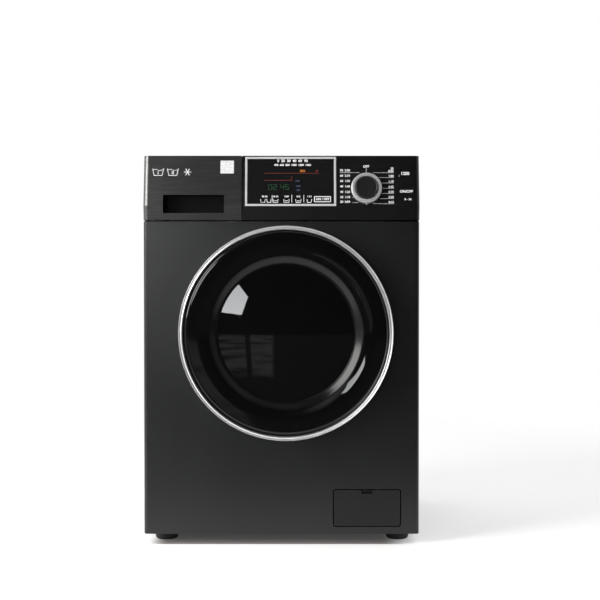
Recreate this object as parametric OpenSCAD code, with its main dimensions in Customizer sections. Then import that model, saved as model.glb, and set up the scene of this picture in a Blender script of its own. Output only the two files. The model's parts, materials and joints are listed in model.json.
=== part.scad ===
// Front load washing machine: a sheet steel cabinet on four screw feet, a sprung tub with
// a belt driven drum inside it, a round glass door, a sliding detergent drawer and a
// control fascia that leans back. Millimetres, +Z up. The origin is the centre of the
// whole machine's footprint, on the floor. The user stands on the -Y side.

/* [Cabinet] */
// Width over the side panels
body_w = 600; // [590:1:620]
// Height of the worktop above the floor
body_h = 846; // [842:1:856]
// Depth from the front panel's face to the rear panel's face
body_d = 530; // [526:1:570]
// Thickness of the steel sheet
sheet = 1; // [0.8:0.1:1.2]
// Radius of the upright front corners
corner_r = 9; // [6:1:11]
// Height of the cabinet's bottom edge above the floor
foot_h = 22; // [21:1:26]

/* [Console] */
// Height of the console's bottom edge
console_z = 705; // [703:1:706]
// Height of the crease between the leaning face and the band under it
ridge_z = 736; // [734:1:740]
// How far the crease stands out from the front panel
ridge_out = 9; // [6:1:11]
// How far the console's bottom edge stands out from the front panel
console_out = 4; // [2:1:5]
// How far the top edge lies behind the front panel's face
console_back = 11; // [8:1:12]
// Where the drawer front ends and the fascia begins, from the middle
split_x = -85.4; // [-87:0.1:-84]
// Wall of the console mouldings
wall = 2.5; // [2:0.1:3]

/* [Door] */
// Distance of the door's centre to the right of the cabinet's middle
door_x = 10; // [8:1:12]
// Height of the door's centre
door_z = 461; // [459:1:463]
// Outer radius of the door's trim ring
door_r = 232; // [231:0.5:233]
// How far the door stands out from the front panel
door_out = 40; // [39:0.5:41]
// Radius of the port in the front panel
port_r = 172; // [171:0.5:173]

/* [Drum and tub] */
// Outer radius of the drum
drum_r = 240; // [236:1:241]
// Depth of the drum's front edge behind the front panel's face
drum_front = 99; // [98.5:0.5:99.5]
// Depth of the drum's rear wall behind the front panel's face
drum_back = 404; // [400:1:404]
// Outer radius of the tub
tub_r = 262; // [261:1:264]
// Number of lifters in the drum
lifters = 3; // [3:1:3]

/* [Drive] */
// Radius at which the belt runs on the drum's pulley
big_pulley_r = 145; // [140:1:150]
// Radius at which the belt runs on the motor's pulley
small_pulley_r = 11; // [10:1:13]
// Radius of the motor
motor_r = 60; // [54:1:62]

/* [Controls and service] */
// Outer radius of the programme knob's ring
knob_r = 33.5; // [30:0.5:34]
// Width of the filter flap
flap_w = 145; // [140:1:146]
// Height of the filter flap
flap_h = 78.6; // [76:0.1:80]
// Outer radius of a foot's pad
foot_r = 25.5; // [22:0.5:27]

/* [Hidden] */
$fn = 96;

// The inlet thread and the drain spigot reach this far behind the rear panel, and the
// front panel's face is placed so that the whole machine is centred front to back.
rear_out = 18;
front_y = door_out - (body_d + door_out + rear_out) / 2;

// Console, drawer front and fascia.
gap = 1.6;
return_d = 24;
panel_top = console_z - 2.5;
top_z = body_h;
worktop_t = 24;
worktop_y = 25;
side_top = top_z - worktop_t;
lean = atan((console_back + ridge_out) / (top_z - ridge_z));

// Pull recess of the drawer.
pull_x = [-256.3, -124.2];
pull_z = [720.4, 759.8];
pull_back = 26;

// Display window and knob on the leaning face.
display_x = 20;
display_z = 789.3;
display_w = 197.4;
display_h = 109.8;
frame_bar = 4.6;
knob_x = 184.2;
knob_z = 773.2;
board_h = -16;

// Flap and drain pump, at the lower right of the front.
flap_x = 186.3;
flap_z = 78.5;
flap_gap = 2;
flap_pin_z = flap_z - flap_h / 2 + 3;
flap_pin_y = 3.5;
pump_z = 77.5;

// Door hinge and hook. Reach is measured forwards from the front panel's face.
hinge_x = door_x - 224;
hinge_reach = 20.5;
knuckle_r = 5.5;
pin_r = 3;
hook_x = door_x + 192;
hook_reach = 17;

// Sprung tub.
ear_x = 235;
spring_d = 300;
spring_low = 640;
spring_high = 797;
damper_x = 120;
damper_d = 230;
sump_x = 70;
sump_d = 120;
trough = [38, 102];
trough_z = 192;
heater_z = 207;
fill_x = -245;
fill_d = 130;
tub_split = 250;
tub_back = 430;
hub_back = 472;

// Motor and belt.
motor_x = -60;
motor_z = 133;
mount_z = 196;
belt_d = [479, 491];
pulley_dx = motor_x - door_x;
pulley_dz = motor_z - door_z;
pulley_gap = norm([pulley_dx, pulley_dz]);

// Water and power at the back.
valve_x = -264;
valve_z = 782;
thread_r = 13.2;
drain_x = 265;
drain_z = 85;
cord_x = 240;
cord_z = 690;
service_r = 165;
foot_x = 257;
foot_front = 66;
foot_back = 485;

// ---- shared shapes ----

// Children placed on the door's axis: x across, y up, z out towards the user.
module on_door_axis() translate([door_x, front_y, door_z]) rotate([90, 0, 0]) children();

// Children placed on the drum's axis: z runs into the machine from the front panel's face.
module on_drum_axis() translate([door_x, front_y, door_z]) rotate([-90, 0, 0]) children();

// Children placed on the leaning face at height z: z is the outward normal, y up the face.
module on_face(x, z) translate([x, face_y(z), z]) rotate([90 - lean, 0, 0]) children();

function face_y(z) =
    front_y - ridge_out + (console_back + ridge_out) * (z - ridge_z) / (top_z - ridge_z);

// A flat ring, or a disc where r_in is 0, from one depth to another.
module ring(r_in, r_out, from, to) translate([0, 0, from]) difference() {
    cylinder(r = r_out, h = to - from);
    if (r_in > 0) translate([0, 0, -1]) cylinder(r = r_in, h = to - from + 2);
}

// A box given by its lowest and highest corners.
module block(low, high) translate(low) cube(high - low);

// A box given by x and z ranges and by depths behind the front panel's face.
module depth_block(x, d, z) block([x[0], front_y + d[0], z[0]], [x[1], front_y + d[1], z[1]]);

// A pin or hole along Y, by depths behind the front panel's face.
module depth_pin(x, z, r, d) translate([x, front_y + d[0], z]) rotate([-90, 0, 0])
    cylinder(r = r, h = d[1] - d[0]);

// Plan outline with rounded front corners, its front edge on the X axis.
module plan_outline(w, d, r) {
    translate([-w / 2, r]) square([w, d - r]);
    translate([r - w / 2, 0]) square([w - 2 * r, d]);
    for (s = [-1, 1]) translate([s * (w / 2 - r), r]) circle(r);
}

// Rectangle with round corners, centred.
module round_rectangle(w, h, r) {
    square([w - 2 * r, h], center = true);
    square([w, h - 2 * r], center = true);
    for (s = [-1, 1], t = [-1, 1]) translate([s * (w / 2 - r), t * (h / 2 - r)]) circle(r);
}

// Upright plate cut to a round rectangle, from one depth to another.
module round_plate(x, z, w, h, r, d) translate([x, front_y + d[1], z]) rotate([90, 0, 0])
    linear_extrude(d[1] - d[0]) round_rectangle(w, h, r);

// ---- cabinet ----

module front_panel() color("#3b3c3e") difference() {
    union() {
        translate([0, front_y, foot_h]) linear_extrude(panel_top - foot_h) difference() {
            plan_outline(body_w, return_d, corner_r);
            translate([0, sheet]) plan_outline(body_w - 2 * sheet, return_d, corner_r - sheet);
        }
        for (z = [foot_h, panel_top - sheet]) translate([0, front_y, z])
            linear_extrude(sheet) plan_outline(body_w, return_d - 8, corner_r);
        on_door_axis() ring(port_r, port_r + sheet, -12, 0);
        for (s = [-1, 1]) flap_ear(flap_x + s * (flap_w / 2 + 3.3));
    }
    on_door_axis() translate([0, 0, -14]) cylinder(r = port_r, h = 16);
    round_plate(flap_x, flap_z, flap_w + 2 * flap_gap, flap_h + 2 * flap_gap, 6, [-1, 1.2]);
    depth_block([hook_x - 9, hook_x + 11], [-1, 2], [door_z - 13, door_z + 13]);
    for (s = [-1, 1]) depth_pin(flap_x + s * flap_w / 2, flap_pin_z, 0.5, [-2, -1]);
}

// Ear behind the front panel that carries one of the flap's pins.
module flap_ear(x) difference() {
    depth_block([x - 1.2, x + 1.2], [0.5, 9], [flap_pin_z - 5, flap_pin_z + 5]);
    translate([x - 3, front_y + flap_pin_y, flap_pin_z]) rotate([0, 90, 0])
        cylinder(r = 2.05, h = 6);
}

// Side panel with a shallow field pressed into it, which stiffens it.
module side_panel_left() color("#3b3c3e") difference() {
    union() {
        depth_block([-body_w / 2, sheet - body_w / 2], [worktop_y, body_d - sheet],
            [foot_h, side_top]);
        side_field(-body_w / 2, 3, 40);
    }
    side_field(-body_w / 2 - 1, 3, 40 - sheet);
}

// The pressed field's outline, as a plate of thickness t that starts at x.
module side_field(x, t, r) translate([x, front_y + 280, 420]) rotate([90, 0, 90])
    linear_extrude(t) round_rectangle(320 + 2 * r, 560 + 2 * r, r);

module side_panel_right() mirror([1, 0, 0]) side_panel_left();

module rear_panel() color("#8d9196") difference() {
    union() {
        depth_block([-body_w / 2, body_w / 2], [body_d - sheet, body_d], [foot_h, side_top]);
        for (z = [140, 740]) round_plate(door_x, z, 380, 60, 20, [body_d - 4, body_d - sheet]);
    }
    for (z = [140, 740]) round_plate(door_x, z, 378, 58, 19, [body_d - 3, body_d + 1]);
    depth_pin(door_x, door_z, service_r, [body_d - 6, body_d + 1]);
    depth_pin(valve_x, valve_z, thread_r + 2, [body_d - 6, body_d + 1]);
    depth_pin(drain_x, drain_z, 12, [body_d - 6, body_d + 1]);
    depth_pin(cord_x, cord_z, 8, [body_d - 6, body_d + 1]);
}

module rear_service_cover() color("#9a9ea3") difference() {
    union() {
        depth_pin(door_x, door_z, service_r + 18, [body_d, body_d + 1.2]);
        depth_pin(door_x, door_z, 130, [body_d, body_d + 5]);
    }
    depth_pin(door_x, door_z, 128.8, [body_d - 1, body_d + 3.8]);
}

tray_floor = foot_h + sheet;
module base_tray() color("#2c2d30") difference() {
    union() {
        difference() {
            translate([0, front_y + sheet, tray_floor]) linear_extrude(34)
                plan_outline(body_w - 2 * sheet, body_d - 2 * sheet, corner_r - sheet);
            depth_block([4 - body_w / 2, body_w / 2 - 4], [4, body_d - 4],
                [tray_floor + 4, tray_floor + 40]);
        }
        for (x = [-foot_x, foot_x], d = [foot_front, foot_back])
            translate([x, front_y + d, tray_floor]) cylinder(r = 16, h = 37);
        for (s = [-1, 1]) depth_block([door_x + s * damper_x - 18, door_x + s * damper_x + 18],
            [damper_d - 14, damper_d + 14], [tray_floor + 3, 46]);
        for (x = [-170, -60, 60]) depth_block([x - 1.5, x + 1.5], [3, body_d - 3],
            [tray_floor + 3, tray_floor + 14]);
    }
    for (x = [-foot_x, foot_x], d = [foot_front, foot_back])
        translate([x, front_y + d, foot_h]) cylinder(r = 5.3, h = 42);
    depth_block([flap_x - 80, flap_x + 80], [0, 6], [tray_floor + 11, tray_floor + 40]);
}

module worktop() color("#2f3032") translate([0, front_y + worktop_y, side_top])
    linear_extrude(worktop_t) {
        translate([-body_w / 2, 0]) square([body_w, body_d - worktop_y - 4]);
        translate([4 - body_w / 2, 0]) square([body_w - 8, body_d - worktop_y]);
        for (s = [-1, 1]) translate([s * (body_w / 2 - 4), body_d - worktop_y - 4]) circle(4);
    }

// Front rail behind the console's foot and the rail that the tub's springs hang from.
module top_cross_rails() color("silver") {
    difference() {
        depth_block([sheet - body_w / 2, body_w / 2 - sheet], [9, 45], [682, 700]);
        depth_block([-body_w / 2, body_w / 2], [10.5, 43.5], [681, 698.5]);
    }
    difference() {
        depth_block([sheet - body_w / 2, body_w / 2 - sheet],
            [spring_d - 20, spring_d + 20], [spring_high, side_top]);
        depth_block([-body_w / 2, body_w / 2], [spring_d - 18.5, spring_d + 18.5],
            [spring_high + 1.5, side_top + 1]);
        for (s = [-1, 1]) translate([door_x + s * ear_x, front_y + spring_d, 790])
            cylinder(r = 4.3, h = 20);
    }
}

module cabinet_screws() color("silver") {
    for (a = [0:60:300]) depth_pin(door_x + (service_r + 10) * cos(a),
        door_z + (service_r + 10) * sin(a), 4.5, [body_d + 1.2, body_d + 3.6]);
    for (s = [-1, 1], z = [60, 250, 620, 790]) depth_pin(s * 288, z, 4.5,
        [body_d, body_d + 2.4]);
    for (s = [-1, 1]) depth_pin(s * 230, side_top + 12, 4.5, [body_d, body_d + 2.4]);
}

module cord_gland() color("#1c1c1e") difference() {
    union() {
        depth_pin(cord_x, cord_z, 12, [body_d, body_d + 3]);
        depth_pin(cord_x, cord_z, 7.8, [body_d - 4, body_d + 3]);
    }
    depth_pin(cord_x, cord_z, 4, [body_d - 5, body_d + 4]);
}

// ---- console ----

// Side profile of the console, pushed in by t, from its face back to a given depth.
module console_profile(t, back) polygon([
    [front_y - console_out + t, console_z + t], [front_y - ridge_out + t, ridge_z],
    [front_y + console_back + t, top_z - t], [front_y + back, top_z - t],
    [front_y + back, console_z + t]]);

// Solid console between two stations across the machine, pushed in by t.
module console_solid(x, t, back) intersection() {
    translate([x[0] + t, 0, 0]) rotate([90, 0, 90]) linear_extrude(x[1] - x[0] - 2 * t)
        console_profile(t, back);
    translate([0, front_y - ridge_out + t, console_z - 1]) linear_extrude(top_z)
        plan_outline(body_w - 2 * t, back + ridge_out + 2, corner_r - t / 2);
}

// Hollow console moulding, open at the back.
module console_shell(x) difference() {
    console_solid(x, 0, return_d);
    console_solid(x, wall, return_d + 5);
}

module console_fascia() color("#1d1e1f") difference() {
    union() {
        console_shell([split_x + gap / 2, body_w / 2]);
        for (y = [-40, 34]) on_face(display_x, display_z) board_post(-98, y);
        for (x = [-62, 23], y = [-16, 16]) on_face(knob_x, knob_z) board_post(x, y);
    }
    on_face(display_x, display_z) translate([0, 0, -6]) linear_extrude(10)
        square([display_w - 2 * frame_bar, display_h - 2 * frame_bar], center = true);
    on_face(knob_x, knob_z) translate([0, 0, -8]) cylinder(r = 5, h = 16);
}

// Post moulded behind the fascia, which the circuit board is screwed to.
module board_post(x, y) translate([x, y, board_h + 1.6]) cylinder(r = 2.5, h = -board_h - 3);

// Bright frame round the display window.
module display_frame() color("silver") on_face(display_x, display_z) linear_extrude(1.4)
    difference() {
        square([display_w, display_h], center = true);
        square([display_w - 2 * frame_bar, display_h - 2 * frame_bar], center = true);
    }

module display_glass() color("#101112") on_face(display_x, display_z)
    translate([0, 0, -2.4]) linear_extrude(3.2)
        square([display_w - 2 * frame_bar - 0.4, display_h - 2 * frame_bar - 0.4],
            center = true);

// Circuit board with the display module and the knob's rotary encoder.
module control_board() color("darkgreen") difference() {
    union() {
        on_face(display_x, display_z) {
            translate([-101, -45, board_h]) cube([193, 84, 1.6]);
            translate([-70, -30, board_h + 1.6]) cube([140, 60, 12]);
        }
        on_face(knob_x, knob_z) {
            translate([-72.4, -20, board_h]) cube([100, 40, 1.6]);
            translate([0, 0, board_h + 1.6]) cylinder(r = 8, h = 8);
        }
    }
    on_face(knob_x, knob_z) translate([0, 0, -12.5]) cylinder(r = 3.06, h = 10);
}

// ---- programme knob ----

module knob_ring() color("silver") on_face(knob_x, knob_z) rotate_extrude() polygon([
    [3.2, 0.6], [knob_r, 0.6], [knob_r, 9], [knob_r - 0.6, 11.4], [knob_r - 2, 12.4],
    [27, 12.4], [25.3, 11], [25.3, 3], [3.2, 3]]);

module knob_cap() color("#26282b") on_face(knob_x, knob_z) {
    rotate_extrude() polygon([[0, 3], [25, 3], [25, 13], [24, 15], [22.5, 15.6],
        [21.5, 14.6], [0, 14.2]]);
    translate([0, 0, -12]) cylinder(r = 3, h = 16);
}

// ---- detergent drawer ----

module drawer_front() color("#3f4042") difference() {
    union() {
        console_shell([-body_w / 2, split_x - gap / 2]);
        intersection() {
            depth_block([pull_x[0] - 2, pull_x[1] + 2], [-8, pull_back],
                [pull_z[0] - 2, pull_z[1] + 16]);
            console_solid([-body_w / 2, split_x - gap / 2], 1, pull_back);
        }
    }
    depth_block(pull_x, [-20, pull_back - 2], pull_z);
    depth_block(pull_x, [3, pull_back - 2], [pull_z[0], pull_z[1] + 14]);
}

tray_x = [-286, -102];
tray_z = [722, 800];
tray_d = [pull_back, 224];
tray_walls = [-190, -146];

module drawer_tray() color("gainsboro") difference() {
    depth_block(tray_x, tray_d, tray_z);
    depth_block([tray_x[0] + 2, tray_walls[0] - 1], [tray_d[0] + 2, tray_d[1] - 2],
        [tray_z[0] + 2, tray_z[1] + 1]);
    depth_block([tray_walls[0] + 1, tray_walls[1] - 1], [tray_d[0] + 2, tray_d[1] - 2],
        [tray_z[0] + 2, tray_z[1] + 1]);
    depth_block([tray_walls[1] + 1, tray_x[1] - 2], [tray_d[0] + 2, tray_d[1] - 2],
        [tray_z[0] + 2, tray_z[1] + 1]);
}

// Lift-out cap over the softener compartment, with the tube that siphons it empty.
module siphon_cap() color("steelblue") {
    depth_block([tray_walls[0] + 1.2, tray_walls[1] - 1.2], [90, 190], [790, 795]);
    translate([(tray_walls[0] + tray_walls[1]) / 2, front_y + 140, 730]) difference() {
        cylinder(r = 9, h = 60);
        translate([0, 0, -1]) cylinder(r = 7, h = 58);
    }
}

module dispenser_housing() color("whitesmoke") difference() {
    union() {
        depth_block([-292, -96], [26, 240], [715, 818]);
        for (x = [-286, -122]) depth_block([x, x + 20], [27, 42], [700, 716]);
        translate([door_x + fill_x, front_y + fill_d, 690]) cylinder(r = 20, h = 26);
        for (x = [-254, -276]) depth_pin(x, valve_z, 7, [239, 248]);
    }
    depth_block([-290, -98], [20, 238], [717, 816]);
    translate([door_x + fill_x, front_y + fill_d, 680]) cylinder(r = 16, h = 40);
    for (x = [-254, -276]) depth_pin(x, valve_z, 5, [235, 250]);
}

// ---- water system ----

module inlet_valve() color("white") {
    difference() {
        union() {
            depth_block([-290, -240], [478, body_d - sheet], [766, 798]);
            depth_pin(valve_x, valve_z, thread_r + 1.5, [body_d - 3, body_d + 1]);
            depth_pin(valve_x, valve_z, thread_r + 5, [body_d, body_d + 3]);
            depth_pin(valve_x, valve_z, thread_r, [body_d, body_d + rear_out]);
            for (x = [-254, -276]) depth_pin(x, valve_z, 7, [470, 480]);
        }
        depth_pin(valve_x, valve_z, 9, [body_d - 10, body_d + rear_out + 1]);
        for (x = [-254, -276]) depth_pin(x, valve_z, 5, [465, 485]);
    }
    for (x = [-253, -277]) translate([x, front_y + 505, 738]) cylinder(r = 11.5, h = 28);
}

module inlet_hoses() color("#3a3a3a") for (x = [-254, -276])
    translate([x, front_y, valve_z]) rotate([-90, 0, 0]) ring(5, 7, 248, 470);

// Corrugated tube along Z, of plain wall with ribs between the two cuffs.
module bellows_tube(r, z, ribs) {
    ring(r, r + 2.5, z[0], z[1]);
    for (i = [1:ribs]) ring(r + 1, r + 5, z[0] + (z[1] - z[0]) * i / (ribs + 1) - 1.5,
        z[0] + (z[1] - z[0]) * i / (ribs + 1) + 1.5);
}

module fill_hose() color("#2a2a2c")
    translate([door_x + fill_x, front_y + fill_d, 0]) bellows_tube(20.3, [622, 708], 5);

sump_bend = 45;
module sump_hose() color("#2a2a2c") translate([door_x + sump_x, front_y + sump_d, 0]) {
    bellows_tube(22.3, [pump_z + sump_bend, 186], 3);
    translate([sump_bend, 0, pump_z + sump_bend]) rotate([90, 0, 0])
        rotate_extrude(angle = 90, start = 180) translate([sump_bend, 0]) difference() {
            circle(24.8);
            circle(22.3);
        }
    translate([sump_bend, 0, pump_z]) rotate([0, 90, 0]) ring(22.3, 24.8, 0, 24);
}

module pump_housing() color("gainsboro") difference() {
    union() {
        depth_pin(flap_x, pump_z, 34, [30, 136]);
        depth_pin(flap_x, pump_z, 26, [135, 166]);
        depth_block([flap_x - 24, flap_x + 24], [166, 222], [pump_z - 24, pump_z + 24]);
        translate([flap_x - 60, front_y + sump_d, pump_z]) rotate([0, 90, 0])
            cylinder(r = 22, h = 50);
        translate([flap_x + 10, front_y + 150, drain_z]) rotate([0, 90, 0])
            cylinder(r = 8.2, h = 36);
        depth_block([flap_x - 26, flap_x + 26], [60, 130], [tray_floor + 4, pump_z - 20]);
    }
    depth_pin(flap_x, pump_z, 30, [25, 132]);
    depth_pin(flap_x, pump_z, 14, [131, 140]);
    depth_pin(flap_x, pump_z, 22, [138, 162]);
    translate([flap_x - 61, front_y + sump_d, pump_z]) rotate([0, 90, 0])
        cylinder(r = 18, h = 50);
    translate([flap_x + 15, front_y + 150, drain_z]) rotate([0, 90, 0])
        cylinder(r = 6, h = 40);
    depth_pin(flap_x, pump_z, 3.1, [160, 176]);
}

module pump_impeller() color("#303236") {
    depth_pin(flap_x, pump_z, 3, [141, 174]);
    depth_pin(flap_x, pump_z, 18, [154, 157]);
    for (a = [0:60:300]) translate([flap_x, front_y + 142, pump_z]) rotate([0, a, 0])
        translate([2, 0, -1]) cube([15, 13, 2]);
}

// Hose from the pump to the drain spigot in the rear panel.
drain_bend = 25;
module pump_hose() color("#3a3a3a") difference() {
    union() {
        translate([flap_x + 38, front_y + 150, drain_z]) rotate([0, 90, 0])
            cylinder(r = 11.5, h = drain_x - drain_bend - flap_x - 38);
        translate([drain_x - drain_bend, front_y + 150 + drain_bend, drain_z])
            rotate_extrude(angle = 90, start = -90) translate([drain_bend, 0]) circle(11.5);
        depth_pin(drain_x, drain_z, 11.5, [150 + drain_bend, body_d]);
        depth_pin(drain_x, drain_z, 15, [body_d, body_d + 3]);
        depth_pin(drain_x, drain_z, 10.5, [body_d, body_d + rear_out]);
    }
    translate([flap_x + 30, front_y + 150, drain_z]) rotate([0, 90, 0])
        cylinder(r = 8.4, h = drain_x - drain_bend - flap_x - 30);
    translate([drain_x - drain_bend, front_y + 150 + drain_bend, drain_z])
        rotate_extrude(angle = 90, start = -90) translate([drain_bend, 0]) circle(8.4);
    depth_pin(drain_x, drain_z, 8.4, [150 + drain_bend, body_d + rear_out + 1]);
}

// ---- filter cap and flap ----

module filter_cap() color("#2f5fa0") {
    depth_pin(flap_x, pump_z, 33, [24, 29.7]);
    depth_pin(flap_x, pump_z, 29.6, [29, 52]);
    depth_block([flap_x - 25, flap_x + 25], [12, 25], [pump_z - 5, pump_z + 5]);
    for (a = [0:90:270]) translate([flap_x, front_y + 51, pump_z]) rotate([0, a, 0])
        translate([18, 0, -2]) cube([8, 40, 4]);
}

module filter_flap() color("#3a3b3d") difference() {
    union() {
        round_plate(flap_x, flap_z, flap_w, flap_h, 5, [0, 2.5]);
        difference() {
            round_plate(flap_x, flap_z, flap_w - 6, flap_h - 8, 4, [2.4, 8]);
            round_plate(flap_x, flap_z, flap_w - 10, flap_h - 12, 3, [2, 9]);
        }
        depth_block([flap_x - 14, flap_x + 14], [0, 9.5],
            [flap_z + flap_h / 2 - 10, flap_z + flap_h / 2 - 2]);
        for (s = [-1, 1]) translate([flap_x + s * (flap_w / 2 - 1), front_y + flap_pin_y,
            flap_pin_z]) rotate([0, s * 90, 0]) cylinder(r = 2, h = 5.6);
        for (s = [-1, 1]) depth_block([flap_x + s * (flap_w / 2 - 3) - 2,
            flap_x + s * (flap_w / 2 - 3) + 2], [2, 5], [flap_pin_z - 2, flap_pin_z + 2]);
    }
    depth_block([flap_x - 12, flap_x + 12], [-1, 8],
        [flap_z + flap_h / 2 - 8, flap_z + flap_h / 2 + 1]);
}

// ---- door ----

cover_edge = 221.5;
crest_r = 186;
slope_r = 163;
window_r = 144;
window_rise = 8;
window_reach = 19;

// Reach of the cover's outer face at a radius inside the window.
function dome(r) = window_reach + window_rise * (1 - pow(r / window_r, 2));

// The cover's outer face, from its rim to the middle of the window.
function cover_face() = concat(
    [[cover_edge, 35.6], [crest_r + 12, 37.6], [crest_r, 37.8], [crest_r - 9, 36.6],
        [slope_r, 31], [window_r + 2, 20.2]],
    [for (i = [0:6]) [window_r * (1 - i / 6), dome(window_r * (1 - i / 6))]]);

module door_cover() color("#0c0d0f") on_door_axis() rotate_extrude() {
    face = cover_face();
    n = len(face);
    polygon(concat(face, [for (i = [n - 1:-1:0]) [face[i][0], face[i][1] - 3]]));
}

// Room in the door's rim for the hinge's knuckles.
module hinge_pocket() block([hinge_x - 24, front_y - hinge_reach - 9.5, door_z - 42],
    [hinge_x + 8.5, front_y + 2, door_z + 42]);

module door_trim_ring() color("silver") difference() {
    on_door_axis() rotate_extrude() polygon([
        [door_r - 3, 3], [door_r, 9], [door_r, 33], [door_r - 1.2, 37.5],
        [door_r - 3.6, door_out], [223.8, door_out], [222.2, 38.4], [222.2, 30],
        [224.2, 30], [224.2, 37], [door_r - 4.4, 37], [door_r - 2.8, 32],
        [door_r - 2.8, 10], [door_r - 5.4, 3]]);
    hinge_pocket();
}

module door_frame() color("#26272a") difference() {
    union() {
        on_door_axis() rotate_extrude() polygon([
            [156, 6], [226.4, 6], [226.4, 8.5], [220.5, 8.5], [220.5, 32.6], [217.5, 32.8],
            [217.5, 8.5], [171, 8.5], [171, 16], [168, 16], [168, 8.5], [156, 8.5]]);
        for (s = [-1, 1]) block([hook_x - 6, front_y - 24, door_z + s * 11 - 2.5],
            [hook_x + 6, front_y - 8, door_z + s * 11 + 2.5]);
    }
    hinge_pocket();
    depth_block([hook_x - 8, hook_x + 10], [-9, -5], [door_z - 8, door_z + 8]);
    translate([hook_x, front_y - hook_reach, door_z - 20]) cylinder(r = 2.55, h = 40);
}

module door_glass() color("#8fa3ad", 0.4) on_door_axis() rotate_extrude() polygon([
    [166, 8.5], [153, 8.5], [151, 0], [146, -30], [138, -70], [126, -98], [108, -110],
    [60, -116], [0, -118], [0, -113], [59, -111], [106, -105], [121.5, -95],
    [133, -69], [141, -30], [146, 1], [148, 13.5], [166, 13.5]]);

// Arm screwed to the door frame's back, ending in the middle knuckle.
module door_hinge_arm() color("silver") difference() {
    union() {
        depth_block([hinge_x + 9, hinge_x + 44], [-6, -3], [door_z - 34, door_z + 34]);
        depth_block([hinge_x, hinge_x + 8.4], [-hinge_reach, -3], [door_z - 13, door_z + 13]);
        depth_block([hinge_x, hinge_x + 10], [-6, -3], [door_z - 13, door_z + 13]);
        translate([hinge_x, front_y - hinge_reach, door_z - 13])
            cylinder(r = knuckle_r, h = 26);
    }
    translate([hinge_x, front_y - hinge_reach, door_z - 14]) cylinder(r = pin_r + 0.06, h = 28);
}

// Plate on the front panel with two knuckles and the hinge pin.
module hinge_bracket() color("silver") {
    depth_block([hinge_x - 3, hinge_x + 40], [-2, 0], [door_z - 40, door_z + 40]);
    for (s = [-1, 1]) {
        translate([hinge_x, front_y - hinge_reach, door_z + s * 26 - 12])
            cylinder(r = knuckle_r, h = 24);
        depth_block([hinge_x + 1, hinge_x + knuckle_r], [-hinge_reach, -1],
            [door_z + s * 26 - 12, door_z + s * 26 + 12]);
    }
    translate([hinge_x, front_y - hinge_reach, door_z - 38]) cylinder(r = pin_r, h = 76);
}

module door_hook() color("silver") {
    translate([hook_x, front_y - hook_reach, door_z - 13]) cylinder(r = 2.5, h = 26);
    translate([hook_x, front_y - hook_reach, door_z - 4]) cylinder(r = 5.5, h = 8);
    depth_block([hook_x - 3, hook_x + 3], [-hook_reach, 20], [door_z - 4, door_z + 4]);
    depth_block([hook_x - 3, hook_x + 6], [15, 20], [door_z - 4, door_z + 4]);
}

module door_lock() color("#e8e6df") difference() {
    depth_block([hook_x - 16, hook_x + 26], [sheet, 34], [door_z - 34, door_z + 34]);
    depth_block([hook_x - 8, hook_x + 12], [0, 30], [door_z - 9, door_z + 9]);
}

// Rubber bellows between the port's collar and the tub's neck, with the lip that meets
// the door glass.
module door_gasket() color("#8a8c8e") on_drum_axis() rotate_extrude() polygon([
    [150.6, 10], [164, 3], [164, 1], [171.9, 1], [171.9, 14], [167, 14], [167, 37],
    [184, 37], [184, 60], [174.5, 60], [174.5, 80], [169.4, 80], [169.4, 57],
    [181, 57], [181, 40], [164, 40], [164, 13], [150.6, 13]]);

// ---- sprung tub ----

// Trough under the drum for the heater, pushed in by t.
module tub_trough(t, d) depth_block([trough[0] + t, trough[1] - t], d,
    [trough_z + t, door_z - 200]);

module tub_front() color("gainsboro") difference() {
    union() {
        on_drum_axis() {
            ring(165, 169, 66, 94);
            ring(165, tub_r, 92, 96);
            ring(tub_r - 4, tub_r, 95, tub_split);
            ring(tub_r - 1, tub_r + 8, tub_split - 6, tub_split);
        }
        tub_trough(0, [92, tub_split]);
        for (s = [-1, 1]) depth_block([door_x + s * damper_x - 12, door_x + s * damper_x + 12],
            [damper_d - 8, damper_d + 8], [200, 236]);
        translate([door_x + sump_x, front_y + sump_d, 170]) cylinder(r = 22, h = 26);
        translate([door_x + fill_x, front_y + fill_d, 530]) cylinder(r = 20, h = 110);
    }
    on_drum_axis() translate([0, 0, 96]) cylinder(r = tub_r - 4, h = tub_split);
    tub_trough(3, [96, tub_split + 1]);
    translate([door_x + sump_x, front_y + sump_d, 160]) cylinder(r = 18, h = 40);
    translate([door_x + fill_x, front_y + fill_d, 536]) cylinder(r = 16, h = 110);
}

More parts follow.
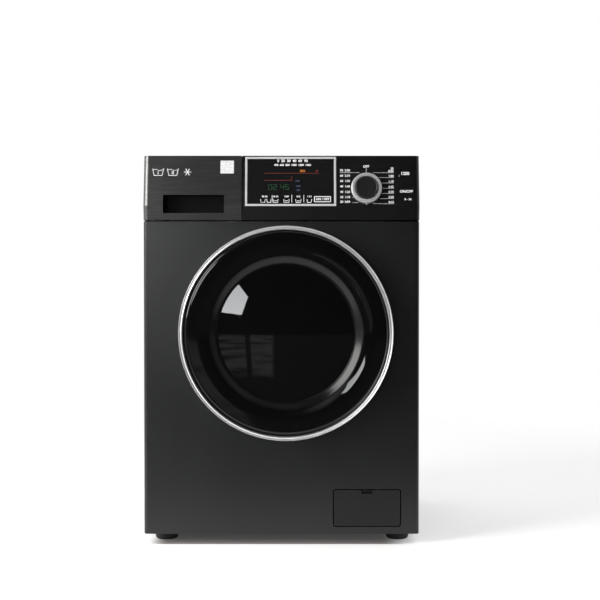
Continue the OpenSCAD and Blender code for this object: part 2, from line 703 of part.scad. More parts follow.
module tub_rear() color("gainsboro") difference() {
    union() {
        on_drum_axis() {
            ring(tub_r - 4, tub_r, tub_split, tub_back);
            ring(tub_r - 1, tub_r + 8, tub_split, tub_split + 6);
            ring(20, tub_r, tub_back - 4, tub_back);
            ring(20, 46, tub_back - 6, hub_back);
            for (a = [0:45:315]) rotate([0, 0, a]) translate([40, -1.5, tub_back - 1])
                cube([210, 3, 19]);
        }
        tub_trough(0, [tub_split, tub_back]);
        for (s = [-1, 1]) depth_block([door_x + s * ear_x - 13, door_x + s * ear_x + 13],
            [spring_d - 6, spring_d + 6], [door_z + 100, spring_low + 12]);
        for (d = [310, 412]) depth_block([motor_x - 46, motor_x + 46], [d - 8, d + 8],
            [mount_z, 230]);
        for (x = [-80, 100]) depth_block([x - 14, x + 14], [300, 400], [690, 728]);
    }
    on_drum_axis() {
        translate([0, 0, tub_split - 1]) cylinder(r = tub_r - 4, h = tub_back - tub_split - 3);
        translate([0, 0, tub_back - 20]) cylinder(r = 31, h = 39);
        translate([0, 0, 440]) cylinder(r = 22, h = 20);
        translate([0, 0, 454]) cylinder(r = 26, h = 30);
    }
    tub_trough(3, [tub_split - 1, tub_back - 4]);
    for (s = [-1, 1]) depth_pin(door_x + s * ear_x, spring_low, 7,
        [spring_d - 8, spring_d + 8]);
    depth_block([46, 94], [tub_back - 6, tub_back + 20], [heater_z - 7, heater_z + 7]);
}

module counterweight_front() color("#8f8f8a") on_drum_axis() ring(192, 250, 54, 91.8);

module counterweight_top() color("#8f8f8a") difference() {
    depth_block([-105, 135], [268, 428], [728, 776]);
    for (x = [-80, 100]) translate([x, front_y + 350, 740]) cylinder(r = 9, h = 40);
}

// Heating rod in the tub's trough, with its sealing plug and terminals at the back.
module heater_element() color("silver") {
    depth_block([46, 94], [tub_back - 5, tub_back + 6], [heater_z - 7, heater_z + 7]);
    for (x = [55, 85]) {
        depth_pin(x, heater_z, 3.4, [150, tub_back - 4]);
        depth_block([x - 3, x + 3], [tub_back + 5, tub_back + 18], [heater_z - 1, heater_z + 1]);
    }
    translate([70, front_y + 150, heater_z]) rotate_extrude(angle = 180, start = 180)
        translate([15, 0]) circle(3.4);
}

module drum_bearings() color("silver") on_drum_axis() {
    ring(15.05, 30.9, 433, 449);
    ring(12.55, 25.9, 454, 469);
}

module shaft_seal() color("#1c1c1e") on_drum_axis() ring(15.3, 30.9, 424.5, 432.5);

module motor_body() color("silver") difference() {
    union() {
        depth_pin(motor_x, motor_z, motor_r, [300, 430]);
        depth_pin(motor_x, motor_z, 16, [429, 442]);
        for (d = [310, 412]) depth_block([motor_x - 40, motor_x + 40], [d - 7, d + 7],
            [motor_z, mount_z]);
    }
    depth_pin(motor_x, motor_z, 7.3, [424, 444]);
}

module motor_pulley() color("silver") {
    depth_pin(motor_x, motor_z, 7, [426, 496]);
    depth_pin(motor_x, motor_z, small_pulley_r - 0.3, [477, 493]);
    for (d = [475, 493]) depth_pin(motor_x, motor_z, small_pulley_r + 3, [d, d + 2]);
}

// Loop round both pulleys, as far out from the running surface as t. The straight runs
// lie a hair inside the true tangents, so that they cut the circles cleanly.
module belt_loop(t) {
    wrap = acos((big_pulley_r - small_pulley_r) / pulley_gap);
    inset = 0.02;
    near = big_pulley_r + t - inset;
    far = small_pulley_r + t - inset;
    circle(big_pulley_r + t);
    translate([pulley_gap, 0]) circle(small_pulley_r + t);
    polygon([
        near * [cos(wrap), sin(wrap)], near * [cos(wrap), -sin(wrap)],
        [pulley_gap, 0] + far * [cos(wrap), -sin(wrap)],
        [pulley_gap, 0] + far * [cos(wrap), sin(wrap)]]);
}

belt_t = 2.4;
module drive_belt() color("#1c1c1e") on_drum_axis()
    rotate([0, 0, atan2(-pulley_dz, pulley_dx)]) translate([0, 0, belt_d[0]])
        linear_extrude(belt_d[1] - belt_d[0]) difference() {
            belt_loop(belt_t);
            belt_loop(0);
        }

// Two coil springs that the tub hangs on: the coils as closed turns on two rods, a peg
// through the rail and a hook through the tub's ear.
module suspension_springs() color("silver") for (s = [-1, 1])
    translate([door_x + s * ear_x, front_y + spring_d, 0]) {
        coil = 14;
        turns = 12;
        wire = 2.2;
        low = spring_low + 20;
        high = spring_high - 8;
        for (i = [0:turns - 1]) translate([0, 0, low + (high - low) * (i + 0.5) / turns])
            rotate_extrude() translate([coil, 0]) circle(wire);
        for (x = [-coil, coil]) translate([x, 0, low]) cylinder(r = 1.2, h = high - low);
        for (z = [low - 2, high]) translate([0, 0, z]) cylinder(r = coil + wire, h = 2);
        translate([0, 0, high]) cylinder(r = 4, h = spring_high + 3 - high);
        translate([0, 0, spring_high + 1.5]) cylinder(r = 8, h = 2.5);
        translate([0, 0, spring_low + 9]) rotate([0, 90, 0]) rotate_extrude()
            translate([9, 0]) circle(wire);
    }

module damper_cylinders() color("#1c1c1e") for (s = [-1, 1])
    translate([door_x + s * damper_x, front_y + damper_d, 46]) difference() {
        cylinder(r = 17, h = 104);
        translate([0, 0, 48]) cylinder(r = 7.8, h = 60);
    }

module damper_rods() color("silver") for (s = [-1, 1])
    translate([door_x + s * damper_x, front_y + damper_d, 0]) {
        translate([0, 0, 112]) cylinder(r = 7, h = 70);
        block([-10, -7, 180], [10, 7, 200]);
    }

// ---- drum ----

// The shell is stored as staves and front sectors a hair apart, each nearly convex.
stave_turn = 30;
stave_slit = 0.012;
shell_t = 1.2;
shell_seam = 0.05;

module drum_shell() color("lightgray") on_drum_axis() {
    for (a = [0:stave_turn:330]) {
        rotate_extrude(angle = stave_turn - stave_slit, start = a)
            translate([drum_r - shell_t, drum_front + shell_t + shell_seam])
                square([shell_t, drum_back - drum_front - 2 * (shell_t + shell_seam)]);
        rotate_extrude(angle = stave_turn - stave_slit, start = a) polygon([
            [160, drum_front], [drum_r, drum_front], [drum_r, drum_front + shell_t],
            [160 + shell_t, drum_front + shell_t], [160 + shell_t, drum_front + 9],
            [160, drum_front + 9]]);
    }
    ring(0, drum_r, drum_back - shell_t, drum_back);
}

// Section of a lifter, pushed in by t.
module lifter_section(t) polygon([[t - 28, -drum_r], [28 - t, -drum_r], [22 - t, -216],
    [11 - t, t - 187], [6 - t, t - 184], [t - 6, t - 184], [t - 11, t - 187], [t - 22, -216]]);

module drum_lifters() color("lightsteelblue") on_drum_axis() for (i = [0:lifters - 1])
    rotate([0, 0, i * 360 / lifters]) intersection() {
        translate([0, 0, drum_front + 14]) difference() {
            linear_extrude(drum_back - drum_front - 24) lifter_section(0);
            translate([0, 0, 3]) linear_extrude(drum_back - drum_front - 30)
                lifter_section(3);
        }
        cylinder(r = drum_r - 1.3, h = drum_back);
    }

module drum_spider() color("silver") on_drum_axis() difference() {
    union() {
        ring(0, 38, drum_back, 423);
        for (i = [0:2]) rotate([0, 0, 30 + i * 120]) translate([0, -17, drum_back])
            cube([226, 34, 14]);
    }
    translate([0, 0, drum_back + 2]) cylinder(r = 15.05, h = 40);
    for (i = [0:2]) rotate([0, 0, 30 + i * 120]) translate([60, -11, drum_back + 4])
        cube([150, 22, 20]);
}

module drum_shaft() color("silver") on_drum_axis() {
    translate([0, 0, drum_back + 2]) cylinder(r = 15, h = 450 - drum_back - 2);
    translate([0, 0, 449]) cylinder(r = 12.5, h = 45);
    translate([0, 0, 494]) cylinder(r = 17, h = 2);
    translate([0, 0, 496]) cylinder(r = 10, h = 6, $fn = 6);
}

module drum_pulley() color("#b8babd") on_drum_axis() difference() {
    union() {
        ring(134, big_pulley_r - 0.3, 477, 493);
        for (d = [475, 493]) ring(134, big_pulley_r + 3, d, d + 2);
        ring(12.55, 136, 483, 486);
        ring(12.55, 24, 474, 494);
    }
    for (a = [0:72:288]) rotate([0, 0, a]) translate([80, 0, 480]) cylinder(r = 34, h = 10);
}

// ---- feet ----

module foot(x, d) color("#18181a") translate([x, front_y + d, 0]) {
    rotate_extrude() polygon([[0, 0], [foot_r - 4, 0], [foot_r - 1, 3], [foot_r, 8],
        [foot_r, 15], [foot_r - 2, 17], [0, 17]]);
    cylinder(r = 5, h = foot_h + 36);
}

module foot_front_left() foot(-foot_x, foot_front);
module foot_front_right() foot(foot_x, foot_front);
module foot_rear_left() foot(-foot_x, foot_back);
module foot_rear_right() foot(foot_x, foot_back);

// ---- the assembly ----

front_panel();
side_panel_left();
side_panel_right();
rear_panel();
rear_service_cover();
base_tray();
worktop();
top_cross_rails();
console_fascia();
display_frame();
display_glass();
control_board();
dispenser_housing();
inlet_valve();
inlet_hoses();
door_lock();
hinge_bracket();
damper_cylinders();
pump_housing();
pump_hose();
cabinet_screws();
cord_gland();
door_gasket();
suspension_springs();
fill_hose();
sump_hose();
tub_rear();
tub_front();
counterweight_front();
counterweight_top();
heater_element();
drum_bearings();
shaft_seal();
motor_body();
damper_rods();
drive_belt();
drum_shell();
drum_lifters();
drum_spider();
drum_shaft();
drum_pulley();
motor_pulley();
door_cover();
door_trim_ring();
door_frame();
door_glass();
door_hinge_arm();
door_hook();
drawer_front();
drawer_tray();
siphon_cap();
knob_ring();
knob_cap();
filter_flap();
filter_cap();
pump_impeller();
foot_front_left();
foot_front_right();
foot_rear_left();
foot_rear_right();
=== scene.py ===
import contextlib
import json
from math import atan2, copysign, cos, hypot, pi, radians, sin, tan

import bmesh
import bpy
from mathutils import Matrix, Vector

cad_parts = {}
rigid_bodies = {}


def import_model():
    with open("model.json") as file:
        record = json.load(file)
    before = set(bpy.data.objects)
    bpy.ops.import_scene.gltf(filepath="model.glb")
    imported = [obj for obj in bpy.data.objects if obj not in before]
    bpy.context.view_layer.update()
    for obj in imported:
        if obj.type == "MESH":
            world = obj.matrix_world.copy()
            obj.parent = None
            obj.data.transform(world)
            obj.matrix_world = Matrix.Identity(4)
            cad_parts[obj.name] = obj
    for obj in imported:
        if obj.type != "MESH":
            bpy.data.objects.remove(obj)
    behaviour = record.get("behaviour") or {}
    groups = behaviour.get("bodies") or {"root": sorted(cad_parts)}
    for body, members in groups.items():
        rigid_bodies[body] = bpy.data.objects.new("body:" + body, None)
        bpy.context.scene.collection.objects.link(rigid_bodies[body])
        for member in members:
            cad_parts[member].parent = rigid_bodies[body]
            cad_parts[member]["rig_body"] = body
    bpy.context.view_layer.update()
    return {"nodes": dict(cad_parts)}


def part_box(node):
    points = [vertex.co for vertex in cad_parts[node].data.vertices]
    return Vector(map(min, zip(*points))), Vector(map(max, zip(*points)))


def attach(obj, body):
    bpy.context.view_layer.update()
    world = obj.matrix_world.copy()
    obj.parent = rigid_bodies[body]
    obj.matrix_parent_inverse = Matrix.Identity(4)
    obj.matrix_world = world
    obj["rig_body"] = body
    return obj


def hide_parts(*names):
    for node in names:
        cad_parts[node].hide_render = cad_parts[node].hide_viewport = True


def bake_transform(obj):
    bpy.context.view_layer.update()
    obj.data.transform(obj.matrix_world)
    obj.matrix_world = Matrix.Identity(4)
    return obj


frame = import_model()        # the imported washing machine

scene = bpy.context.scene
scene.view_settings.view_transform = "Standard"


# ---- Camera ----
# A long lens at hip height, a little to the right of the machine's middle, looking at the
# front almost square on and one degree down.
def put(name, data):
    """An object that holds this data, linked into the scene."""
    made = bpy.data.objects.new(name, data)
    scene.collection.objects.link(made)
    return made


camera = put("camera", bpy.data.cameras.new("camera"))
camera.location = (0.0403, -2.854, 0.5774)
camera.rotation_euler = (radians(89), 0, 0)
camera.data.lens = 71.8
camera.data.sensor_width = 36
scene.camera = camera


# ---- Studio ----
# A white floor that keeps the machine's soft shadow, with painted shade under its footprint,
# a white surround behind it, and a dim room in front. A large softbox stands high on the left,
# where the door's rim mirrors it, and a tall one beside the camera. Two weak fills light the
# front from above and from low left.
def operator(operation, swapped=False):
    """A Wire's method that adds a Math node for the wire and another value."""
    def add(wire, other):
        values = (other, wire) if swapped else (wire, other)
        return wire.node("ShaderNodeMath", {"operation": operation}, dict(enumerate(values)))
    return add


class Wire:
    """One socket of a node tree. Sums on it add Math nodes, and node() adds any other."""

    __add__ = __radd__ = operator("ADD")
    __mul__ = __rmul__ = operator("MULTIPLY")
    __sub__, __rsub__ = operator("SUBTRACT"), operator("SUBTRACT", swapped=True)
    __truediv__, __rtruediv__ = operator("DIVIDE"), operator("DIVIDE", swapped=True)
    __lt__, __gt__ = operator("LESS_THAN"), operator("GREATER_THAN")

    def __init__(self, tree, socket=None):
        self.tree, self.socket = tree, socket

    def node(self, kind, settings=None, inputs=None, output=0):
        """A new node in this tree, with links and plain values on its inputs."""
        made = self.tree.nodes.new(kind)
        for name, value in (settings or {}).items():
            setattr(made, name, value)
        for key, value in (inputs or {}).items():
            if isinstance(value, Wire):
                self.tree.links.new(value.socket, made.inputs[key])
            else:
                made.inputs[key].default_value = value
        return Wire(self.tree, made.outputs[output] if made.outputs else None)

    def vector(self, operation, *others, output=0):
        """Vector Math on this and any other vectors. Output 1 is a length."""
        return self.node("ShaderNodeVectorMath", {"operation": operation},
                         dict(enumerate((self, *others))), output)

    def part(self, axis):
        """One coordinate of a vector, 0 to 2."""
        return self.node("ShaderNodeSeparateXYZ", {}, {0: self}, axis)

    def ramp(self, low, high):
        """0 below low and 1 above high, with a smooth rise between."""
        return self.node("ShaderNodeMapRange", {"interpolation_type": "SMOOTHSTEP"},
                         {"Value": self, "From Min": low, "From Max": high})

    def mix(self, low, high):
        """The colour low where this is 0 and high where it is 1."""
        return self.node("ShaderNodeMix", {"data_type": "RGBA"}, {0: self, 6: low, 7: high}, 2)

    def either(self, first, second):
        """The shader first where this is 0 and second where it is 1."""
        return self.node("ShaderNodeMixShader", {}, {0: self, 1: first, 2: second})

    def noise(self, scale, detail=2.0, stretch=None):
        """Noise at this place, scale bumps to the metre, stretched along the axes."""
        where = self.vector("MULTIPLY", stretch) if stretch else self
        return self.node("ShaderNodeTexNoise", {}, {"Vector": where, "Scale": scale,
                                                    "Detail": detail})

    def cells(self, scale, output=0, **settings):
        """Cells round scattered points: how far off the nearest point is, or a colour."""
        return self.node("ShaderNodeTexVoronoi", settings, {"Vector": self, "Scale": scale},
                         output)

    def light(self, strength, colour=(1, 1, 1, 1)):
        """A shader that gives off light."""
        return self.node("ShaderNodeEmission", {}, {"Color": colour, "Strength": strength})


def begin(name, kind="materials", place=3):
    """A new finish, and a wire with the place on the machine in metres."""
    made = getattr(bpy.data, kind).new(name)
    made.use_nodes = True
    made.node_tree.nodes.clear()
    return made, Wire(made.node_tree).node("ShaderNodeTexCoord", output=place)


def rays(at, *kinds):
    """For each kind of ray, 1 where a ray of that kind arrives."""
    path = at.node("ShaderNodeLightPath").socket.node
    return [Wire(at.tree, path.outputs[kind]) for kind in kinds]


def mesh_of(name, points, faces=(), edges=()):
    """A new mesh from its points, and the faces or edges between them."""
    mesh = bpy.data.meshes.new(name)
    mesh.from_pydata(points, edges, faces)
    return mesh


def staged(name, points, finish):
    """One flat face of the studio, which isn't part of the machine."""
    sheet = put(name, mesh_of(name, points, [range(len(points))]))
    sheet.data.materials.append(finish)
    return sheet


def softbox(name, place, aim, size, power, colour=(1, 1, 1), in_gloss=False):
    """A flat lamp that points from its place at the aim. Gloss mirrors it only if in_gloss."""
    lamp = bpy.data.lights.new(name, "AREA")
    lamp.shape = "RECTANGLE"
    lamp.size, lamp.size_y = size
    lamp.energy, lamp.color = power, colour
    holder = put(name, lamp)
    holder.location = place
    holder.rotation_euler = (Vector(aim) - Vector(place)).to_track_quat("-Z", "Y").to_euler()
    holder.visible_camera, holder.visible_glossy = False, in_gloss


softbox("softbox_left", (-2.3, -1.55, 1.62), (0, -0.2, 0.45), (1.3, 1.9), 66, (1, 0.985, 0.96),
        in_gloss=True)
softbox("fill_above", (0.6, -2.2, 3.4), (0, 0, 0.4), (2.4, 2.4), 22)
softbox("fill_low_left", (-0.95, -1.0, 0.34), (-0.28, -0.25, 0.26), (0.35, 0.35), 6.0)

cloth, at = begin("softbox_cloth")
pane_y, pane_low, pane_high = -3.54, 0.6, 1.3
fall_off = (at.part(2) - pane_low) / (pane_high - pane_low)
at.node("ShaderNodeOutputMaterial", {}, {
    "Surface": at.light(9.4 - 2.0 * fall_off, (0.97, 0.985, 1, 1))})
pane = staged("softbox_near_camera", [(x, pane_y, z) for x, z in (
    (-0.617, 0.873), (-0.717, 0.595), (-1.28, 0.665), (-1.33, 1.32), (-0.93, 1.28))], cloth)
pane.visible_camera = False

scene.world, sky = begin("studio", "worlds", 0)
across, away, up = (sky.part(axis) for axis in range(3))
behind = away.ramp(-0.1, 0.45)
left_glow = (0 - across).ramp(0.5, 0.85)
right_glow = across.ramp(0.75, 1.0)
overhead = up.ramp(0.8, 1.0)
upper_left = up.ramp(0.2, 0.36) * (1 - up.ramp(0.4, 0.55)) * (0 - across).ramp(0.06, 0.3)
upper_right = (0.7 * across + 0.7 * up).ramp(0.75, 0.95)
room = 0.018 + 0.75 * left_glow + 0.3 * right_glow + 0.3 * overhead
room = room + 0.5 * upper_left + 0.36 * upper_right
room = room * (1 - behind) + 0.95 * behind
to_camera, = rays(sky, "Is Camera Ray")
sky.node("ShaderNodeOutputWorld", {}, {"Surface": sky.node("ShaderNodeBackground", {}, {
    "Color": (1, 1, 1, 1), "Strength": room * (1 - to_camera) + to_camera})})

floor_size, shadow_reach, shade_soft = 9.0, (1.3, 2.4), 0.08
floor_paint, at = begin("floor_paint")
to_eye, mirrored, through = rays(at, "Is Camera Ray", "Is Glossy Ray", "Is Transmission Ray")
low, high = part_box("front_panel")[0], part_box("side_panel_right")[1]
# Painted shade: inside the machine's footprint the floor's colour is darker and its glow lower,
# for the shade under the machine.
painted_shade_under = 1.0
for axis, first, last, soft in ((0, low.x, high.x, 0.05), (1, low.y - 0.006, high.y, 0.005)):
    along = at.part(axis)
    painted_shade_under = painted_shade_under * along.ramp(first, first + soft) * (last - along).ramp(0, shade_soft)
matt = at.node("ShaderNodeBsdfDiffuse", {}, {
    "Color": painted_shade_under.mix((0.8, 0.8, 0.8, 1), (0.30, 0.28, 0.27, 1))})
near = at.node("ShaderNodeAddShader", {}, {0: matt, 1: at.light(0.42 - 0.37 * painted_shade_under)})
far = at.vector("LENGTH", output=1).ramp(*shadow_reach).either(near, at.light(1.0))
seen = (to_eye + mirrored + through).either(matt, far)
forwards = 0 - at.part(1)
turn = at.part(0) / forwards
pane_light = (turn.ramp(-0.31, -0.29) * (-0.18 - turn).ramp(0, 0.008)
              + turn.ramp(-0.165, -0.157) * (-0.055 - turn).ramp(0, 0.02))
pane_light = pane_light * forwards.ramp(1.8, 2.0) * at.noise(1.4, 2).ramp(0.3, 0.6)
left_light = (-0.55 - turn).ramp(0, 0.3)
dim = at.light(0.05 + 0.26 * pane_light + 0.5 * left_light)
at.node("ShaderNodeOutputMaterial", {}, {
    "Surface": (forwards.ramp(0.34, 1.15) * mirrored).either(seen, dim)})
staged("studio_floor", [(x * floor_size, y * floor_size, 0) for x, y in (
    (-1, -1), (1, -1), (1, 1), (-1, 1))], floor_paint)


# ---- Cabinet ----
# A sheet steel box: a front panel with the door's port and the flap's opening, two side
# panels with a shallow pressed field, all in one charcoal powder coat. The sheet's edges
# are folded, so each has a small radius.
def close(finish, at, sockets, height=None, depth=0.0):
    """Ends a finish in its surface shader, with bumps depth metres high."""
    if height is not None:
        sockets = dict(sockets, Normal=at.node("ShaderNodeBump", {}, {
            "Height": height, "Distance": depth, "Strength": 1.0}))
    at.node("ShaderNodeOutputMaterial", {}, {
        "Surface": at.node("ShaderNodeBsdfPrincipled", {}, sockets)})
    return finish


def grey(value, tint=(1, 1, 1)):
    return (value * tint[0], value * tint[1], value * tint[2], 1)


def specks(at, scale, size, gaps, most):
    """1 on a few dust specks, away from the gaps, and 0 between them."""
    return (at.cells(scale) < size) * (at.noise(gaps, 0) > most)


def dressed(mesh, finish, sharp=None):
    """The mesh in one finish, shaded smooth. Edges stay sharp from so many degrees."""
    if finish is not None:
        mesh.materials.clear()
        mesh.materials.append(finish)
    mesh.shade_smooth()
    if sharp:
        mesh.set_sharp_from_angle(angle=radians(sharp))
    return mesh


def settled(name, mesh, finish, node, sharp=None):
    """A finished mesh as a piece that rides on a CAD node's body and stands for the node."""
    piece = put(name, dressed(mesh, finish, sharp))
    shading = piece.modifiers.new("even_shading", "WEIGHTED_NORMAL")
    shading.keep_sharp = True
    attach(piece, frame["nodes"][node]["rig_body"])
    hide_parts(node)
    return piece


def merge(shape, near):
    """Joins points that are nearer to each other than this."""
    bmesh.ops.remove_doubles(shape, verts=shape.verts, dist=near)


@contextlib.contextmanager
def worked(mesh):
    """A mesh's faces to work on, which go back into the mesh at the end."""
    shape = bmesh.new()
    shape.from_mesh(mesh)
    yield shape
    shape.to_mesh(mesh)
    shape.free()


def eased(node, name, finish, radius=0.0006, bend=35, rounds=2, change=None):
    """A CAD solid with the same shape and its edges rounded, as a press or mould leaves them."""
    mesh = frame["nodes"][node].data.copy()
    shape = bmesh.new()
    shape.from_mesh(mesh)
    merge(shape, 1e-5)
    if change:
        shape.to_mesh(mesh)
        mesh = change(mesh)
        shape.clear()
        shape.from_mesh(mesh)
    bmesh.ops.dissolve_limit(shape, angle_limit=radians(0.6), verts=shape.verts,
                             edges=shape.edges)
    shape.to_mesh(mesh)
    shape.free()
    piece = settled(name, mesh, finish, node)
    edges = piece.modifiers.new("rounded_edges", "BEVEL")
    edges.width, edges.segments = radius, rounds
    edges.limit_method, edges.angle_limit = "ANGLE", radians(bend)
    edges.use_clamp_overlap = True
    piece.modifiers.move(1, 0)
    return piece


def coat(at, dark, light):
    """A powder coat's colour, drift of gloss and orange peel: fine flakes over a slow drift."""
    flake, drift, peel = at.noise(1400, 1), at.noise(4, 3), at.noise(420, 2)
    return (0.4 * flake + 0.6 * drift).ramp(0.3, 0.7).mix(dark, light), flake, drift, peel


charcoal, at = begin("charcoal_powder_coat")
colour, flake, drift, peel = coat(at, grey(0.0070, (0.97, 1, 1.03)),
                                  grey(0.0108, (0.97, 1, 1.05)))
scuff = at.noise(45, 4)
close(charcoal, at, {
    "Base Color": specks(at, 22.0, 0.026, 19, 0.56).mix(colour, grey(0.09)),
    "Roughness": 0.33 + 0.06 * (drift - 0.5) + 0.05 * (flake - 0.5) + 0.09 * (scuff - 0.5)},
    peel, 0.00003)

eased("front_panel", "front_sheet", charcoal, 0.0007)
eased("side_panel_left", "left_sheet", charcoal, 0.0004)
eased("side_panel_right", "right_sheet", charcoal, 0.0004)


# ---- Worktop, base and feet ----
# The worktop is a laminated board with a matt charcoal skin. The base is a black moulded
# tray, and four rubber feet on zinc plated studs screw into it.
def toned(name, dark, light, rough, fine, broad, share=0.0, tones=(0.3, 0.7), gloss=(0, 0),
          depth=0.0, metallic=0.0, specular=0.5):
    """A finish in two tones. Fine and broad are noises, share is the fine noise's part in the
    tone, and gloss is how far the broad and the fine noise move the roughness."""
    made, at = begin(name)
    fine, broad = at.noise(*fine), at.noise(*broad)
    tone = share * fine + (1 - share) * broad if share else broad
    for reach, noise in zip(gloss, (broad, fine)):
        if reach:
            rough = rough + reach * (noise - 0.5)
    return close(made, at, {
        "Base Color": tone.ramp(*tones).mix(dark, light), "Roughness": rough,
        "Metallic": metallic, "Specular IOR Level": specular}, fine if depth else None, depth)


def moulded(name, dark, light, rough, grain=700, depth=0.00004, specular=0.5):
    """A moulded plastic or rubber: a fine eroded grain, and slow drifts of tone and gloss."""
    return toned(name, dark, light, rough, (grain, 3), (9, 3), 0.35, (0.3, 0.72),
                 (0.12, 0.08), depth, specular=specular)


board = toned("laminated_board", grey(0.022), grey(0.034), 0.5, (260, 4), (6, 3), share=0.5,
              tones=(0.32, 0.68), gloss=(0, 0.16), depth=0.00005)
eased("worktop", "worktop_board", board, 0.0014, rounds=3)

black_plastic = moulded("black_base_plastic", grey(0.010), grey(0.021), 0.55)
eased("base_tray", "base_moulding", black_plastic, 0.0008)
eased("cord_gland", "cord_bush", black_plastic, 0.0006)

zinc = toned("zinc_plate", grey(0.34, (1, 1, 1.02)), grey(0.5, (1.02, 1, 0.95)), 0.3,
             (900, 2), (60, 4), gloss=(0.2, 0.1), depth=0.00001, metallic=1.0)
foot_rubber = moulded("foot_rubber", grey(0.008), grey(0.017), 0.62, 500, 0.00008)


def from_parts(parts):
    """One mesh out of several (mesh, place) pairs, or meshes that are in place already."""
    whole = bpy.data.meshes.new("whole")
    with worked(whole) as shape:
        for part in parts:
            mesh, place = part if isinstance(part, tuple) else (part, Matrix())
            copy = mesh.copy()
            copy.transform(place)
            shape.from_mesh(copy)
            bpy.data.meshes.remove(copy)
    return whole


def rounded(outline, radius, steps=3):
    """The same (radius, height) outline with each corner cut back and rounded over."""
    points, smooth = [Vector(point) for point in outline], []
    for i, here in enumerate(points):
        if here.x < 1e-6:
            smooth.append(here)
            continue
        back, on = points[i - 1] - here, points[(i + 1) % len(points)] - here
        cut_back = min(radius, 0.42 * back.length, 0.42 * on.length)
        first, last = here + back.normalized() * cut_back, here + on.normalized() * cut_back
        for t in (k / steps for k in range(steps + 1)):
            smooth.append((1 - t) ** 2 * first + 2 * t * (1 - t) * here + t * t * last)
    return smooth


def facing_out(mesh, near=0.0):
    """The same mesh with its faces turned outwards, and points nearer than this joined."""
    with worked(mesh) as shape:
        if near:
            merge(shape, near)
        bmesh.ops.recalc_face_normals(shape, faces=shape.faces)
    return mesh


def turned(outline, place, steps, wave=None):
    """A lathe-turned mesh. The outline's (radius, height) runs along place's own z."""
    verts, rows, faces = [], [], []
    for radius, height in outline:
        if radius < 1e-6:
            rows.append([len(verts)] * steps)
            verts.append((0, 0, height))
            continue
        rows.append(range(len(verts), len(verts) + steps))
        for k in range(steps):
            turn = 2 * pi * k / steps
            reach = radius if wave is None else wave(radius, height, turn)
            verts.append((reach * cos(turn), reach * sin(turn), height))
    for i, low in enumerate(rows):
        high = rows[(i + 1) % len(rows)]
        for k in range(steps):
            corners = [low[k], low[(k + 1) % steps], high[(k + 1) % steps], high[k]]
            face = [c for n, c in enumerate(corners) if c not in corners[:n]]
            if len(face) > 2:
                faces.append(face)
    mesh = facing_out(mesh_of("turned", verts, faces), near=1e-7)
    mesh.transform(place)
    return mesh


ribs, rib_deep, rubber_top = 28, 0.0006, 0.0191
foot_mm = [(0, 0), (21.5, 0), (24.5, 3), (25.5, 8), (25.5, 15), (23.5, 17), (10, 17), (9, 19),
           (0, 19)]
nut_mm = [(0, 19), (8.6, 19), (8.6, 21.6), (0, 21.6)]
thread_pitch, stud_r = 1.5, 5.0


def millimetres(outline):
    """An outline given in millimetres, in metres."""
    return [(radius / 1000, height / 1000) for radius, height in outline]


def stud_outline(low, high):
    """A thread's crests and roots, as rings, from low to high."""
    points, height = [(0, low)], low
    while height < high - thread_pitch:
        points += [(stud_r - 0.7, height), (stud_r, height + 0.45 * thread_pitch),
                   (stud_r, height + 0.6 * thread_pitch)]
        height += thread_pitch
    return points + [(stud_r - 0.9, high), (0, high)]


def tread(radius, height, turn):
    """The ribs moulded round the foot's pad, for the fingers that turn it."""
    in_ribs = 0.006 < height < 0.0155
    return radius - in_ribs * rib_deep * (0.5 + 0.5 * cos(turn * ribs))


for side in ("front_left", "front_right", "rear_left", "rear_right"):
    node = "foot_" + side
    low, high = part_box(node)
    place = Matrix.Translation(((low.x + high.x) / 2, (low.y + high.y) / 2, 0))
    mesh = from_parts([
        turned(rounded(millimetres(foot_mm), 0.001), place, 112, wave=tread),
        turned(millimetres(nut_mm), place, 6),
        turned(millimetres(stud_outline(21.6, 1000 * high.z)), place, 20)])
    settled("pad_" + side, mesh, foot_rubber, node, sharp=40)
    mesh.materials.append(zinc)
    for face in mesh.polygons:
        face.material_index = int(face.center.z > rubber_top)


# ---- Rear panel ----
# Bare galvanised sheet with two pressed stiffeners and a round cover over the belt. Pan
# head screws hold the cover and the panel.
galvanised, at = begin("galvanised_sheet")
crystal, drift = at.cells(210.0, "Color").part(0), at.noise(5, 3)
close(galvanised, at, {
    "Base Color": (0.55 * crystal + 0.45 * drift).ramp(0.15, 0.85).mix(
        grey(0.31, (0.97, 1, 1.03)), grey(0.38, (0.97, 1, 1.03))),
    "Roughness": 0.36 + 0.16 * (crystal - 0.5),
    "Metallic": 0.85}, crystal, 0.00001)
eased("rear_panel", "rear_sheet", galvanised, 0.0004)
eased("rear_service_cover", "belt_cover", galvanised, 0.0006)
eased("top_cross_rails", "cross_rails", galvanised, 0.0004)


def finished(holder):
    """The plain mesh that an object's curve or modifiers give. The object is removed."""
    ready = bpy.context.evaluated_depsgraph_get()
    mesh = bpy.data.meshes.new_from_object(holder.evaluated_get(ready))
    bpy.data.objects.remove(holder)
    return mesh


